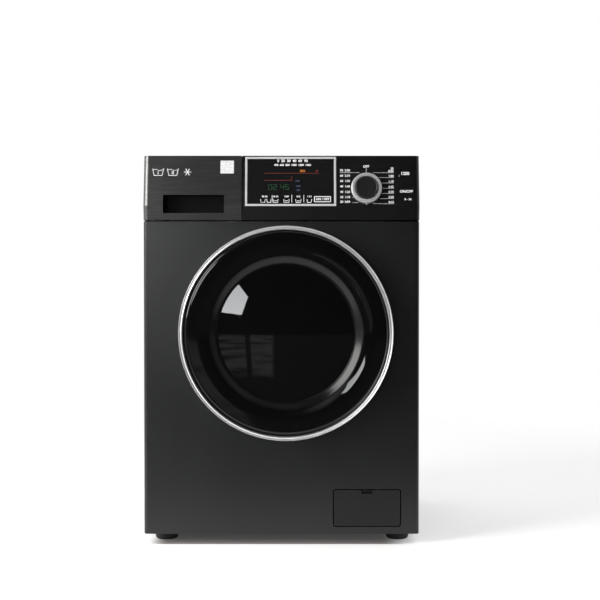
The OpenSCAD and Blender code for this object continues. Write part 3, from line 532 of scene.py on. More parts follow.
def pattern(name, sizes, build, start=None):
    """Runs a Geometry Nodes tree with these sizes as its named inputs, and returns its mesh.
    An object among them is a shape to repeat: build gets its geometry."""
    tree = bpy.data.node_groups.new(name, "GeometryNodeTree")
    tree.interface.new_socket("Shape", in_out="OUTPUT", socket_type="NodeSocketGeometry")
    tree.interface.new_socket("Start", in_out="INPUT", socket_type="NodeSocketGeometry")
    kinds = {float: "Float", int: "Int", bpy.types.Material: "Material",
             bpy.types.Object: "Object"}
    for size, value in sizes.items():
        tree.interface.new_socket(size, in_out="INPUT",
                                  socket_type="NodeSocket" + kinds[type(value)])
    given = tree.nodes.new("NodeGroupInput")
    inputs = {socket.name: Wire(tree, socket) for socket in given.outputs if socket.name}
    repeated = [size for size, value in sizes.items() if type(value) is bpy.types.Object]
    for size in repeated:
        inputs[size] = inputs[size].node("GeometryNodeObjectInfo", {}, {
            "Object": inputs[size]}, "Geometry")
    made = build(inputs)
    real = made.node("GeometryNodeRealizeInstances", {}, {0: made})
    made.node("NodeGroupOutput", {}, {0: made.node("GeometryNodeSetMaterial", {}, {
        "Geometry": real, "Material": inputs["Finish"]})})
    host = put(name, start or bpy.data.meshes.new(name))
    maker = host.modifiers.new(name, "NODES")
    maker.node_group = tree
    for item in tree.interface.items_tree:
        if item.in_out == "INPUT" and item.name in sizes:
            maker[item.identifier] = sizes[item.name]
    mesh = finished(host)
    for size in repeated:
        bpy.data.objects.remove(sizes[size])
    return mesh


def islands(node):
    """The lowest and highest corner of each separate solid of a CAD node, in the order of x."""
    shape = bmesh.new()
    shape.from_mesh(frame["nodes"][node].data)
    merge(shape, 1e-5)
    left, found = set(shape.verts), []
    while left:
        edge, group = [left.pop()], []
        while edge:
            vert = edge.pop()
            group.append(vert.co.copy())
            fresh = {e.other_vert(vert) for e in vert.link_edges} & left
            left -= fresh
            edge += fresh
        found.append([Vector(side(co[i] for co in group) for i in range(3))
                      for side in (min, max)])
    shape.free()
    return sorted(found, key=lambda corners: tuple(corners[0]))


def cut(mesh, tool, way="DIFFERENCE"):
    """A mesh with a tool's shape taken out of it, or joined to it."""
    body, knife = put("body", mesh), put("knife", tool)
    change = body.modifiers.new("cut", "BOOLEAN")
    change.object, change.solver, change.operation = knife, "EXACT", way
    result = finished(body)
    bpy.data.objects.remove(knife)
    return result


def box_mesh(low, high):
    """A closed box between two corners."""
    x, y, z = zip(low, high)
    return mesh_of("box", [(x[i], y[j], z[k]) for i in (0, 1) for j in (0, 1) for k in (0, 1)],
                   [(0, 1, 3, 2), (4, 6, 7, 5), (0, 4, 5, 1), (2, 3, 7, 6), (0, 2, 6, 4),
                    (1, 5, 7, 3)])


screw_r, screw_high, slot_w, slot_l, slot_floor = 0.0045, 0.0024, 0.0011, 0.0056, 0.0009
head = turned(rounded([(0, 0), (screw_r, 0), (screw_r, 0.0007), (screw_r * 0.72, 0.0021),
                       (0, screw_high)], 0.0005), Matrix(), 28)
for turn in (0, pi / 2):
    slot = box_mesh((-slot_l / 2, -slot_w / 2, slot_floor), (slot_l / 2, slot_w / 2, 0.004))
    slot.transform(Matrix.Rotation(turn, 4, "Z"))
    head = cut(head, slot)


def row_of_screws(inputs):
    """A screw at each point, driven in from behind and left at any turn."""
    spin = inputs["Start"].node("FunctionNodeRandomValue", {"data_type": "FLOAT"}, {
        "Min": 0.0, "Max": pi, "Seed": inputs["Seed"]}, 1)
    placed = spin.node("GeometryNodeInstanceOnPoints", {}, {
        "Points": inputs["Start"], "Instance": inputs["Head"],
        "Rotation": (-pi / 2, 0, 0)})
    return placed.node("GeometryNodeRotateInstances", {}, {
        "Instances": placed, "Rotation": placed.node("ShaderNodeCombineXYZ", {}, {"Z": spin})})


places = mesh_of("places", [((low.x + high.x) / 2, low.y, (low.z + high.z) / 2)
                            for low, high in islands("cabinet_screws")])
settled("pan_head_screws", pattern("screws", {
    "Head": put("screw_head", head), "Seed": 4, "Finish": zinc}, row_of_screws, places), None,
    "cabinet_screws")


# ---- Console ----
# Two hollow mouldings that lean back over the cabinet: the fascia in satin black, and the
# drawer's front in a lighter metallic charcoal with a recess for the fingers. The recess's
# faces are painted near black with little gloss, as painted shade in the hollow.
def brushed_front(name, dark, light, rough, metallic):
    """A console moulding's skin: faint brush lines across it, and a fine grain."""
    made, at = begin(name)
    brush, drift, grain = at.noise(240, 2, (0.06, 1, 1)), at.noise(5, 3), at.noise(1100, 2)
    return close(made, at, {
        "Base Color": (0.6 * brush + 0.4 * drift).ramp(0.35, 0.7).mix(grey(dark), grey(light)),
        "Roughness": rough + 0.08 * (drift - 0.5) + 0.08 * (grain - 0.5),
        "Metallic": metallic}, grain, 0.00002)


satin_black = brushed_front("satin_black_fascia", 0.0024, 0.0040, 0.36, 0.0)
drawer_grey = brushed_front("metallic_charcoal_front", 0.135, 0.17, 0.35, 1.0)
front, console_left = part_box("front_panel")[0].y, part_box("drawer_front")[0].x
console_low, console_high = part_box("console_fascia")
ridge_z, top_behind, foot_out = 0.736, 0.011, 0.004
rise, set_back = console_high.z - ridge_z, front + top_behind - console_low.y
lean = atan2(set_back, rise)


def upright(end, section, levels):
    """A bar that follows the console's front, from points given inwards from its end and face."""
    verts = [(end - inwards * copysign(1, end), y + depth, z)
             for z, y in levels for inwards, depth in section]
    count = len(section)
    faces = [range(count), range(len(verts) - count, len(verts))]
    for level in range(len(levels) - 1):
        for k in range(count):
            low, on = level * count + k, level * count + (k + 1) % count
            faces.append((low, on, on + count, low + count))
    return facing_out(mesh_of("upright", verts, faces))


corner_r, beyond = 0.012, 0.02
post = [(0.0012, 0.0012), (0.009, 0.0012), (0.009, 0.009), (0.0012, 0.009)]
sliver = [(corner_r * (1 - cos(turn)), corner_r * (1 - sin(turn)))
          for turn in (radians(7.5 * k) for k in range(13))]
sliver = [(-beyond, corner_r)] + sliver + [(corner_r, -beyond), (-beyond, -beyond)]


def face_y(z):
    """How far out the console's front is at a height."""
    if z > ridge_z:
        return console_low.y + set_back * (z - ridge_z) / rise
    return console_low.y + (front - foot_out - console_low.y) * (ridge_z - z) / (
        ridge_z - console_low.z)


def round_cornered(end):
    """Rounds the console's upright edge at one end, over a post that keeps its wall closed."""
    def change(mesh):
        for section, low, high, way in (
                (post, console_low.z + 0.0035, console_high.z - 0.004, "UNION"),
                (sliver, console_low.z - 0.01, console_high.z + 0.01, "DIFFERENCE")):
            levels = [(z, face_y(z)) for z in (low, ridge_z, high)]
            mesh = cut(mesh, upright(end, section, levels), way)
        return mesh
    return change


eased("console_fascia", "fascia_moulding", satin_black, 0.0009, bend=12, rounds=3,
      change=round_cornered(console_high.x))
drawer = eased("drawer_front", "drawer_moulding", drawer_grey, 0.0009, bend=12, rounds=3,
               change=round_cornered(console_left))

# Painted shade: the finger recess's faces of the drawer moulding get a near-black finish with
# little gloss, for the shade in the hollow.
recess_painted_shade = moulded("black_finger_recess", grey(0.0012), grey(0.0024), 0.6, 900, 0.00003,
                       specular=0.2)
recess_low, recess_high = (-0.2570, front + 0.001, 0.7195), (-0.1235, front + 0.030, 0.7748)
drawer.data.materials.append(recess_painted_shade)
for face in drawer.data.polygons:
    face.material_index = int(all(low < place < high for low, place, high in
                                  zip(recess_low, face.center, recess_high)))


def on_face(x, z, reach=0.0):
    """The place at x, z on the leaning face, with its own z pointing out of the face."""
    return (Matrix.Translation((x, face_y(z), z)) @ Matrix.Rotation(pi / 2 - lean, 4, "X")
            @ Matrix.Translation((0, 0, reach)))


ink_lift, cap_share, boldness = 0.00006, 0.7, 0.05


def lettering(entries, reach=ink_lift):
    """Flat printed figures: each entry is text, x, z, cap height and side it is set from."""
    parts = []
    for text, x, z, high, side in entries:
        line = bpy.data.curves.new("figures", "FONT")
        line.body, line.size = text, high / cap_share
        line.align_x, line.align_y = side, "CENTER"
        line.resolution_u, line.offset = 4, high * boldness
        parts.append((finished(put("figures", line)), on_face(x, z, reach)))
    return parts


def stroke(points, width, reach=ink_lift, ring=False):
    """A printed line through points given as x, z on the leaning face."""
    verts, faces = [], []
    flat = [Vector((x, (z - ridge_z) / cos(lean))) for x, z in points]
    for first, last in zip(flat, flat[1:] + flat[:1] if ring else flat[1:]):
        along = (last - first).normalized() * width / 2
        side = Vector((-along.y, along.x))
        faces.append([len(verts) + n for n in (3, 2, 1, 0)])
        verts += [(*corner, 0) for corner in (first - along + side, last + along + side,
                                              last + along - side, first - along - side)]
    return mesh_of("stroke", verts, faces), on_face(0, ridge_z, reach)


def printed(name, parts, finish, body="cabinet"):
    """Ink or paper on a face: thin flat shapes, as one piece."""
    mesh = from_parts(parts)
    mesh.materials.clear()
    mesh.materials.append(finish)
    piece = put(name, mesh)
    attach(piece, body)


ink, at = begin("pale_ink")
wear = at.noise(900, 3)
close(ink, at, {"Base Color": wear.ramp(0.25, 0.6).mix(grey(0.80), grey(0.94)),
                "Roughness": 0.5 + 0.1 * (wear - 0.5)})


# ---- Drawer front markings ----
# Three plain wash compartment signs and a pale paper label, on the drawer's leaning face.
sign_z, sign_wide, flower_x, petal_l, petals = 0.810, 0.024, -0.204, 0.00756, 6


def tub_sign(x, marks):
    """A wash tub's outline with its water line, and one or two strokes in it."""
    high = sign_wide * 0.62
    outline = ((-0.5, 0.5), (-0.36, -0.5), (0.36, -0.5), (0.5, 0.5))
    water = ((-0.5, 0.3), (-0.2, 0.42), (0.1, 0.22), (0.5, 0.34))
    lines = [stroke([(x + across * sign_wide, sign_z + up * high) for across, up in line], width)
             for line, width in ((outline, 0.0011), (water, 0.0008))]
    for n in range(marks):
        shift = (n - (marks - 1) / 2) * 0.0028
        lines.append(stroke([(x + shift, sign_z - high * 0.3), (x + shift, sign_z + high * 0.1)],
                            0.0012))
    return lines


signs = tub_sign(-0.268, 1) + tub_sign(-0.236, 2)
for n in range(petals):
    turn = 2 * pi * n / petals
    signs.append(stroke([(flower_x, sign_z), (flower_x + petal_l * cos(turn),
                                              sign_z + petal_l * sin(turn))], 0.0015))
printed("drawer_signs", signs, ink, "drawer")

paper = toned("paper_label", grey(0.60), grey(0.78), 0.7, (420, 2), (1500, 1), share=0.7,
              tones=(0.42, 0.56), depth=0.00003)
label_x, label_z, label_half, label_thick = -0.1181, 0.8210, 0.0145, 0.00018
label = box_mesh((-label_half, -label_half, 0), (label_half, label_half, label_thick))
printed("paper_label_square", [(label, on_face(label_x, label_z))], paper, "drawer")


# ---- Display ----
# A gloss black window in a silver plastic frame. Behind it are dim segment figures and
# lamps, and pale signs are printed on it: times, temperatures, spin speeds and tubs.
bright_trim = toned("satin_chrome", grey(0.84, (1, 1, 1.01)), grey(0.90), 0.31, (1500, 2),
                    (14, 2), tones=(0.2, 0.8), gloss=(0.05, 0.05), metallic=0.78)
gloss_window, at = begin("gloss_display_window")
smear = at.noise(30, 4)
close(gloss_window, at, {
    "Base Color": smear.mix(grey(0.0075), grey(0.0095, (0.95, 1, 1.05))),
    "Roughness": 0.07 + 0.05 * (smear - 0.5)})
silver_plastic = moulded("silver_plastic", grey(0.49), grey(0.59), 0.35)
eased("display_frame", "bright_display_frame", silver_plastic, 0.0004)
eased("display_glass", "display_window", gloss_window, 0.0003)
window_face = 0.0008 + ink_lift


def lamp(name, colour, strength):
    """A finish for a small lamp behind the window: flat colour, a little uneven."""
    made, at = begin(name)
    uneven = at.noise(300, 1).ramp(0.2, 0.7)
    return close(made, at, {
        "Base Color": grey(0.01), "Roughness": 0.3, "Emission Strength": strength,
        "Emission Color": uneven.mix([0.75 * c for c in colour] + [1], [*colour, 1])})


def line(points, width, ring=False):
    """A line on the window."""
    return stroke(points, width, window_face, ring)


def bar(x, z, wide, high, reach=window_face):
    """A filled upright rectangle."""
    return stroke([(x - wide / 2 + high / 2, z), (x + wide / 2 - high / 2, z)], high, reach)


printed("red_lines", [
    line([(-0.0365, 0.8071), (0.0812, 0.8071)], 0.0010),
    line([(-0.0365, 0.7916), (0.0224, 0.7916), (0.0224, 0.8004)], 0.0010),
    bar(0.0769, 0.8126, 0.0045, 0.0030), bar(-0.0364, 0.7711, 0.0028, 0.0028)],
    lamp("red_lamp", (0.55, 0.08, 0.06), 0.42))
printed("orange_lamp_signs", [bar(0.0440, 0.8122, 0.0034, 0.0056),
                              bar(0.0482, 0.8122, 0.0034, 0.0050)],
        lamp("orange_lamp", (0.8, 0.25, 0.03), 0.5))

digit_w, digit_h, segment = 0.0068, 0.0118, 0.0012
digits_x, digits_z, digit_step, slack = -0.0275, 0.7767, 0.0104, 0.0003
segments = {"top": ((0, 1), (1, 1)), "low": ((0, -1), (1, -1)), "mid": ((0, 0), (1, 0)),
            "lt": ((0, 0), (0, 1)), "lb": ((0, -1), (0, 0)), "rt": ((1, 0), (1, 1)),
            "rb": ((1, -1), (1, 0))}
lit = {"2": "top rt mid lb low", "4": "lt mid rt rb", "5": "top lt mid rb low",
       "0": "top lt lb low rt rb"}
figures = []
for place, digit in ((0, "0"), (1, "2"), (2.5, "4"), (3.5, "5")):
    left = digits_x + place * digit_step
    for segment_name in lit[digit].split():
        (ax, az), (bx, bz) = segments[segment_name]
        trim = slack * (bx - ax)
        figures.append(line([(left + digit_w * ax + trim, digits_z + 0.45 * digit_h * az),
                             (left + digit_w * bx - trim, digits_z + 0.45 * digit_h * bz)],
                            segment))
figures += [bar(digits_x + 2.1 * digit_step, digits_z + dz, 0.0013, 0.0013)
            for dz in (0.003, -0.003)]
printed("segment_figures", figures + [bar(0.0213, 0.7705, 0.0022, 0.0022)],
        lamp("green_lamp", (0.07, 0.30, 0.11), 0.24))
printed("blue_lamp_signs", lettering([
    ("1400", 0.0345, 0.7900, 0.0036, "CENTER"), ("1000", 0.0365, 0.7785, 0.0036, "CENTER"),
    ("600", 0.0365, 0.7700, 0.0036, "CENTER")], window_face),
        lamp("blue_lamp", (0.22, 0.26, 0.5), 0.3))

scale_rows = (("0  20  30  40  60  90", 0.0240, 0.8343, 0.0056),
              ("400  600  800  1000  1200  1400", 0.0240, 0.8251, 0.0042),
              ("90 60", -0.0362, 0.7560, 0.0036), ("40 30", -0.0125, 0.7560, 0.0034),
              ("1200", 0.0110, 0.7560, 0.0034), ("0:15", 0.0368, 0.7560, 0.0034),
              ("1 2 3", 0.0605, 0.7560, 0.0034), ("ON / OFF", 0.0890, 0.7502, 0.0048))
signs = lettering([(*row, "CENTER") for row in scale_rows], window_face)
for x, wide in ((-0.0400, 0.010), (-0.0270, 0.009), (-0.0125, 0.011), (0.0110, 0.012),
                (0.0368, 0.012), (0.0605, 0.010)):
    signs.append(line([(x + share * wide, 0.7465 + dz) for share, dz in (
        (-0.5, 0.0034), (-0.4, -0.0034), (0.4, -0.0034), (0.5, 0.0034))], 0.0011))
signs += [bar(x, 0.7468, 0.006, 0.0013) for x in (-0.0125, 0.0110, 0.0368)]
signs += [line([(x, 0.7435), (x, 0.7590)], 0.0010) for x in (-0.0200, 0.0225, 0.0486)]
signs += [line([(0.0716, 0.7446), (0.0716, 0.7558), (0.1064, 0.7558), (0.1064, 0.7446)],
               0.0016, ring=True),
          bar(0.0718, 0.7889, 0.0022, 0.0022), bar(0.0718, 0.7700, 0.0018, 0.0018)]
printed("window_figures", signs, ink)


# ---- Programme dial ----
# Pale figures round the knob: temperature and running time of each programme, with leader
# lines to the knob's ring, and figures for the spin speed at the far right.
knob_low, knob_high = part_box("knob_ring")
knob_x = (knob_low.x + knob_high.x) / 2
left_rows = (("90  2:30", 0.8135), ("60  2:10", 0.8018), ("60  1:50", 0.7902),
             ("40  1:45", 0.7783), ("40  1:20", 0.7661), ("30  1:10", 0.7547),
             ("30  0:59", 0.7445))
right_rows = (("20", 0.8175, 0), ("0:50", 0.8118, 0.1988), ("1:00", 0.8011, 0.2115),
              ("1:15", 0.7891, 0.2180), ("0:45", 0.7773, 0.2206), ("0:30", 0.7662, 0.2180),
              ("0:20", 0.7549, 0.2139), ("0:15", 0.7438, 0.2010))
figures = [(text, 0.1272, z, 0.0046, "LEFT") for text, z in left_rows]
figures += [(text, 0.2435, z, 0.0046, "RIGHT") for text, z, start in right_rows]
figures += [(*row, "CENTER") for row in (
    ("OFF", knob_x, 0.8222, 0.0052), ("8", knob_x, 0.7402, 0.0040),
    ("1200", 0.2684, 0.8065, 0.0066), ("ON/OFF", 0.2710, 0.7672, 0.0054),
    ("0 - 24", 0.2740, 0.7500, 0.0044))]
leaders = [stroke([(knob_x, 0.8180), (knob_x, 0.8092)], 0.0009),
           bar(0.2846, 0.7920, 0.0020, 0.0020, ink_lift)]
leaders += [stroke(ends, 0.0006) for ends in (
    ((0.1272, 0.8088), (0.1690, 0.8088)), ((0.1540, 0.7541), (0.1575, 0.7541)),
    ((0.1540, 0.7428), (0.1665, 0.7428)), ((0.2555, 0.7990), (0.2555, 0.8040)),
    ((0.1958, 0.7470), (0.2010, 0.7399)))]
leaders += [stroke([(start, z - 0.0033), (0.2435, z - 0.0033)], 0.0006)
            for text, z, start in right_rows[1:]]
printed("dial_figures", lettering(figures) + leaders, ink)


# ---- Knob ----
# A satin metal ring round a dark cap with a raised rim, on the encoder's shaft.
knob_z = 0.7732
knob_place = on_face(knob_x, knob_z)
ring_mm = [(3.2, 0.6), (33.5, 0.6), (33.5, 9), (32.9, 11.4), (31.5, 12.4), (26.5, 12.4),
           (25.3, 11.4), (25.3, 3), (3.2, 3)]
cap_mm = [(0, 3), (25, 3), (25, 13), (24, 15), (22.5, 15.6), (21.5, 14.6), (0, 14.2)]
shaft_mm = [(0, -12), (3, -12), (3, 4), (0, 4)]
knob_satin = toned("satin_knob_ring", grey(0.58, (1, 1, 1.01)), grey(0.64), 0.29, (1500, 2),
                   (20, 2), tones=(0.2, 0.8), gloss=(0.05, 0.05), metallic=0.5)
knob_grey = moulded("knob_dark_plastic", grey(0.008, (0.97, 1, 1.1)),
                    grey(0.012, (0.97, 1, 1.1)), 0.34, 1200, 0.00001)
settled("knob_bright_ring", turned(rounded(millimetres(ring_mm), 0.0012), knob_place, 160),
        knob_satin, "knob_ring")
settled("knob_dark_cap", from_parts([
    turned(rounded(millimetres(cap_mm), 0.0009), knob_place, 160),
    turned(rounded(millimetres(shaft_mm), 0.0004), knob_place, 32)]), knob_grey, "knob_cap")


# ---- Door ----
# A bright plated rim round a gloss black moulding. The moulding falls in a steep slope to a
# smoked window that bulges a little, and behind it are the door's frame and glass bowl.
door_low, door_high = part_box("door_trim_ring")
door_x, door_z = (door_low.x + door_high.x) / 2, (door_low.z + door_high.z) / 2
door_place = Matrix.Translation((door_x, front, door_z)) @ Matrix.Rotation(pi / 2, 4, "X")
rim_mm = [(229, 3), (230.9, 8), (230.7, 37), (230.6, 39.4), (230, 40), (229.4, 39.8),
          (228.2, 39.1), (226.8, 38.8), (225.6, 39.1), (224.7, 39.8), (224.1, 40),
          (223.4, 39.6), (222.6, 37), (222, 30), (223.8, 30), (224, 36), (226.8, 36.4),
          (228.6, 32), (228.6, 10), (226.6, 3)]
hinge_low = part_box("hinge_bracket")[0]
pocket = box_mesh((hinge_low.x - 0.0215, front - 0.030, door_z - 0.042),
                  (hinge_low.x + 0.0115, front + 0.002, door_z + 0.042))
rim = cut(turned(rounded(millimetres(rim_mm), 0.0004), door_place, 320), pocket)
settled("door_bright_rim", rim, bright_trim, "door_trim_ring", sharp=50)


def polished(name, dark, light, rough, smears, mists, haze, dust, alpha=1.0, specular=0.5):
    """A polished black skin, with faint smears in its gloss and a few specks of dust."""
    made, at = begin(name)
    smear, mist = at.noise(smears, 4), at.noise(mists, 3)
    return close(made, at, {
        "Base Color": specks(at, *dust).mix(smear.mix(dark, light), grey(0.2)),
        "Roughness": rough + 0.05 * (smear - 0.5) * (mist + haze),
        "Alpha": alpha, "Specular IOR Level": specular})


gloss_black = polished("gloss_black_moulding", grey(0.0018), grey(0.0028, (0.95, 1, 1.15)),
                       0.035, 11, 90, 0.5, (14.0, 0.006, 31, 0.55))


def dished(slopes, height, step=1.0):
    """An outline that goes inwards from a height, falling at the degrees given at each radius."""
    points = [(slopes[0][0], height)]
    for (r_a, fall_a), (r_b, fall_b) in zip(slopes, slopes[1:]):
        count = max(1, round((r_a - r_b) / step))
        for k in range(count):
            fall = radians(fall_a + (fall_b - fall_a) * (k + 0.5) / count)
            radius, height = points[-1]
            points.append((radius - (r_a - r_b) / count,
                           height - tan(fall) * (r_a - r_b) / count))
    return points


outer_edge = [(221.4, -58), (218.8, -40), (215.8, -27), (213, -7), (210, 0)]
flat_and_slope = [(192, 0), (187, 5), (184, 8.5), (177.5, 13), (175, 15), (169, 17), (165.5, 22),
                  (163.5, 33), (157, 37), (152.5, 34), (150.5, 18), (149.4, 9), (148.4, 8),
                  (147.4, 10), (146.8, 4)]
face_mm = dished(outer_edge + flat_and_slope, 31.6)
moulding_mm = [(221.4, 28.5)] + face_mm + [
    (146.4, face_mm[-1][1] - 0.8), (146.4, 15.5)] + [
    (radius, height - 3.2) for radius, height in reversed(face_mm[::6])]
gloss_ring = turned(millimetres(moulding_mm), door_place, 320)
settled("door_gloss_moulding", gloss_ring, gloss_black, "door_cover", sharp=40)
satin_slope, at = begin("satin_slope_ring")
reach_out = at.vector("SUBTRACT", (door_x, 0, door_z)).vector("MULTIPLY", (1, 0, 1)).vector(
    "LENGTH", output=1)
turning = reach_out.node("ShaderNodeTexNoise", {"noise_dimensions": "1D"}, {
    "W": reach_out, "Scale": 900.0, "Detail": 2.0})
close(satin_slope, at, {
    "Base Color": turning.ramp(0.3, 0.7).mix(grey(0.0030), grey(0.005, (0.97, 1, 1.1))),
    "Roughness": 0.13 + 0.09 * turning,
    "Specular IOR Level": 0.34}, turning, 0.00006)
gloss_ring.materials.append(satin_slope)
slope_r, bead_r = 0.1650, 0.1485
for face in gloss_ring.polygons:
    from_axis = hypot(face.center.x - door_x, face.center.z - door_z)
    face.material_index = int(bead_r < from_axis < slope_r)

smoked = polished("smoked_window", grey(0.0015), grey(0.0025, (1, 1, 1.15)), 0.02, 9, 80, 0.3,
                  (30.0, 0.012, 17, 0.56), alpha=0.94, specular=0.72)
window_mm, window_edge, window_crown, window_low = [], 146.3, 8.0, face_mm[-1][1] - 0.3
for k in range(25):
    radius = window_edge * (1 - k / 24)
    window_mm.append((radius, window_low + window_crown * (1 - (radius / window_edge) ** 2)))
window_mm = [(window_edge, window_low - 3)] + window_mm + [
    (radius, height - 3) for radius, height in reversed(window_mm[1:])]
settled("door_smoked_window", turned(millimetres(window_mm), door_place, 256), smoked,
        "door_cover", sharp=30)

door_plastic = moulded("door_frame_plastic", grey(0.013), grey(0.022), 0.45)
eased("door_frame", "door_inner_frame", door_plastic, 0.0006, bend=40)

bowl_glass, at = begin("pressed_glass")
ripple = at.noise(18, 2)
close(bowl_glass, at, {
    "Base Color": grey(0.93, (0.97, 1, 0.99)), "Roughness": 0.01 + 0.02 * ripple,
    "Transmission Weight": 1.0, "IOR": 1.5}, ripple, 0.0006)
bowl_mm = [(166, 8.5), (153, 8.5), (151, 0), (146, -30), (138, -70), (126, -98), (108, -110),
           (60, -116), (0, -118), (0, -113), (59, -111), (106, -105), (121.5, -95),
           (133, -69), (141, -30), (146, 1), (148, 13.5), (166, 13.5)]
settled("door_glass_bowl", turned(rounded(millimetres(bowl_mm), 0.008, steps=6), door_place,
                                  224), bowl_glass, "door_glass")

for node, name in (("door_hinge_arm", "hinge_arm"), ("hinge_bracket", "hinge_plate"),
                   ("door_hook", "latch_hook")):
    eased(node, name, zinc, 0.0005)
white_plastic = moulded("white_plastic", grey(0.55, (1, 1, 0.96)), grey(0.68, (1, 1, 0.97)),
                        0.45)
eased("door_lock", "lock_case", white_plastic, 0.0008)


# ---- Door gasket ----
# Soft grey rubber bellows from the port's folded collar to the tub's neck, with a lip that
# rests on the glass.
grey_rubber = moulded("grey_rubber", grey(0.15, (1, 1, 1.03)), grey(0.24, (1, 1, 1.02)), 0.5,
                      500, 0.00005)
backwards = Matrix.Rotation(-pi / 2, 4, "X")
drum_place = Matrix.Translation((door_x, front, door_z)) @ backwards
gasket_mm = [(150.6, 10), (164, 3), (164, 1), (171.9, 1), (171.9, 14), (167, 14), (167, 37),
             (184, 37), (184, 60), (174.5, 60), (174.5, 80), (169.4, 80), (169.4, 57),
             (181, 57), (181, 40), (164, 40), (164, 13), (150.6, 13)]


def hung(name, mesh, finish, node, sharp=None):
    """A finished piece, in place in the world, that stands for a CAD node. It rides on no body.
    """
    piece = put(name, dressed(mesh, finish, sharp))
    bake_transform(piece)
    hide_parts(node)


hung("gasket_bellows", turned(rounded(millimetres(gasket_mm), 0.0024, steps=4), drum_place, 224),
     grey_rubber, "door_gasket")


# ---- Filter flap ----
# A painted moulding at the lower right that snaps into the front panel, with a notch at its
# top edge. Behind it are the drain pump's case and its blue screw-in filter.
flap_paint, at = begin("flap_paint")
colour, _, drift, peel = coat(at, grey(0.0050, (0.99, 1, 0.99)), grey(0.0080, (0.99, 1, 0.99)))
close(flap_paint, at, {
    "Base Color": colour,
    "Roughness": 0.47 + 0.1 * (drift - 0.5), "Specular IOR Level": 0.4}, peel, 0.00003)


def slimmed(mesh):
    """The flap with its plate drawn in a little at both sides, to pass the opening's corners."""
    low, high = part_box("filter_flap")
    middle, plate_half = (low.x + high.x) / 2, (high.x - low.x) / 2 - 0.0040
    for vert in mesh.vertices:
        if vert.co.y < low.y + 0.0026 and abs(vert.co.x - middle) < plate_half:
            vert.co.x = middle + (vert.co.x - middle) * 0.995
    return mesh


eased("filter_flap", "flap_moulding", flap_paint, 0.0006, change=slimmed)
blue_plastic = moulded("blue_plastic", grey(1, (0.02, 0.07, 0.24)), grey(1, (0.03, 0.10, 0.33)),
                       0.4)
eased("filter_cap", "filter_screw_cap", blue_plastic, 0.0010)
eased("pump_housing", "pump_case", white_plastic, 0.0008)
eased("pump_impeller", "pump_wheel", door_plastic, 0.0004)


# ---- Behind the console ----
# The electronics' board, and the dispenser: a moulded case fixed in the cabinet, a tray that
# slides out with the drawer's front, and a blue siphon cap over the softener's well.
circuit_green, at = begin("circuit_board")
tracks, solder = at.cells(160.0, feature="DISTANCE_TO_EDGE"), at.cells(130.0) < 0.22
copper = tracks.ramp(0.02, 0.06).mix(grey(1, (0.03, 0.16, 0.06)), grey(1, (0.012, 0.07, 0.028)))
close(circuit_green, at, {
    "Base Color": solder.mix(copper, grey(0.45)),
    "Roughness": 0.3 + 0.15 * tracks, "Metallic": solder})
eased("control_board", "control_board_panel", circuit_green, 0.0003)
eased("dispenser_housing", "dispenser_case", white_plastic, 0.0008)
eased("drawer_tray", "dispenser_tray", white_plastic, 0.0007)
eased("siphon_cap", "siphon_cap_moulding", blue_plastic, 0.0007)


# ---- Water inlet ----
# A white solenoid valve block with a threaded spout through the rear panel, and two black
# rubber hoses from its barbs to the dispenser. The pump's outlet pipe is of the same rubber.
black_rubber = moulded("black_rubber", grey(0.010), grey(0.020), 0.5, 600, 0.00006)
eased("inlet_valve", "inlet_valve_block", white_plastic, 0.0007)
valve_x, valve_z, thread_r, first_turn, pitch = -0.264, 0.782, 0.0132, 0.0055, 0.0018
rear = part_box("rear_panel")[1].y


def thread_of_crests(inputs):
    """A stack of fine rings, one at each point."""
    return inputs["Start"].node("GeometryNodeInstanceOnPoints", {}, {
        "Points": inputs["Start"], "Instance": inputs["Crest"]})


crest = turned([(thread_r - 0.0004, -0.0008), (thread_r + 0.0005, -0.0002),
                (thread_r + 0.0005, 0.0002), (thread_r - 0.0004, 0.0008)],
               backwards, 48)
turns = mesh_of("turns", [(valve_x, rear + first_turn + pitch * n, valve_z) for n in range(6)])
settled("inlet_thread", pattern("thread", {"Crest": put("crest", crest),
                                           "Finish": white_plastic}, thread_of_crests, turns),
        None, "inlet_valve")
eased("inlet_hoses", "valve_hoses", black_rubber, 0.0004)
eased("pump_hose", "pump_outlet", black_rubber, 0.0004)


# ---- Tub ----
# Two moulded shells bolted together on a flange, ribbed at the back, with a trough under the
# drum for the heating rod. Two concrete weights steady it. It hangs on two springs and
# stands on two friction dampers.
tub_plastic = toned("filled_tub_plastic", grey(0.40, (1, 1, 0.98)), grey(0.56, (1, 1, 0.97)),
                    0.42, (700, 2), (6, 3), share=0.5, gloss=(0, 0.12), depth=0.00004)
eased("tub_front", "tub_front_shell", tub_plastic, 0.0010)
eased("tub_rear", "tub_rear_shell", tub_plastic, 0.0010)

concrete, at = begin("cast_concrete")
grit, stain, pits = at.noise(420, 5), at.noise(12, 4), at.cells(130.0).ramp(0.06, 0.2)
close(concrete, at, {
    "Base Color": (0.5 * grit + 0.5 * stain).ramp(0.25, 0.75).mix(
        grey(0.16, (1, 0.98, 0.94)), grey(0.33, (1, 0.99, 0.95))),
    "Roughness": 0.86 + 0.1 * (grit - 0.5)}, 0.6 * grit + 0.4 * pits, 0.0006)
eased("counterweight_front", "front_weight", concrete, 0.0035, rounds=3)
eased("counterweight_top", "top_weight", concrete, 0.0035, rounds=3)

stainless = toned("brushed_stainless", grey(0.50), grey(0.62, (1, 1, 0.98)), 0.22,
                  (1300, 2, (1, 0.08, 1)), (8, 3), tones=(0.25, 0.75), gloss=(0.12, 0.10),
                  depth=0.00001, metallic=1.0)
eased("heater_element", "heating_rod", stainless, 0.0004)
eased("damper_cylinders", "damper_barrels", black_plastic, 0.0008)
eased("damper_rods", "damper_rods_plated", zinc, 0.0005)

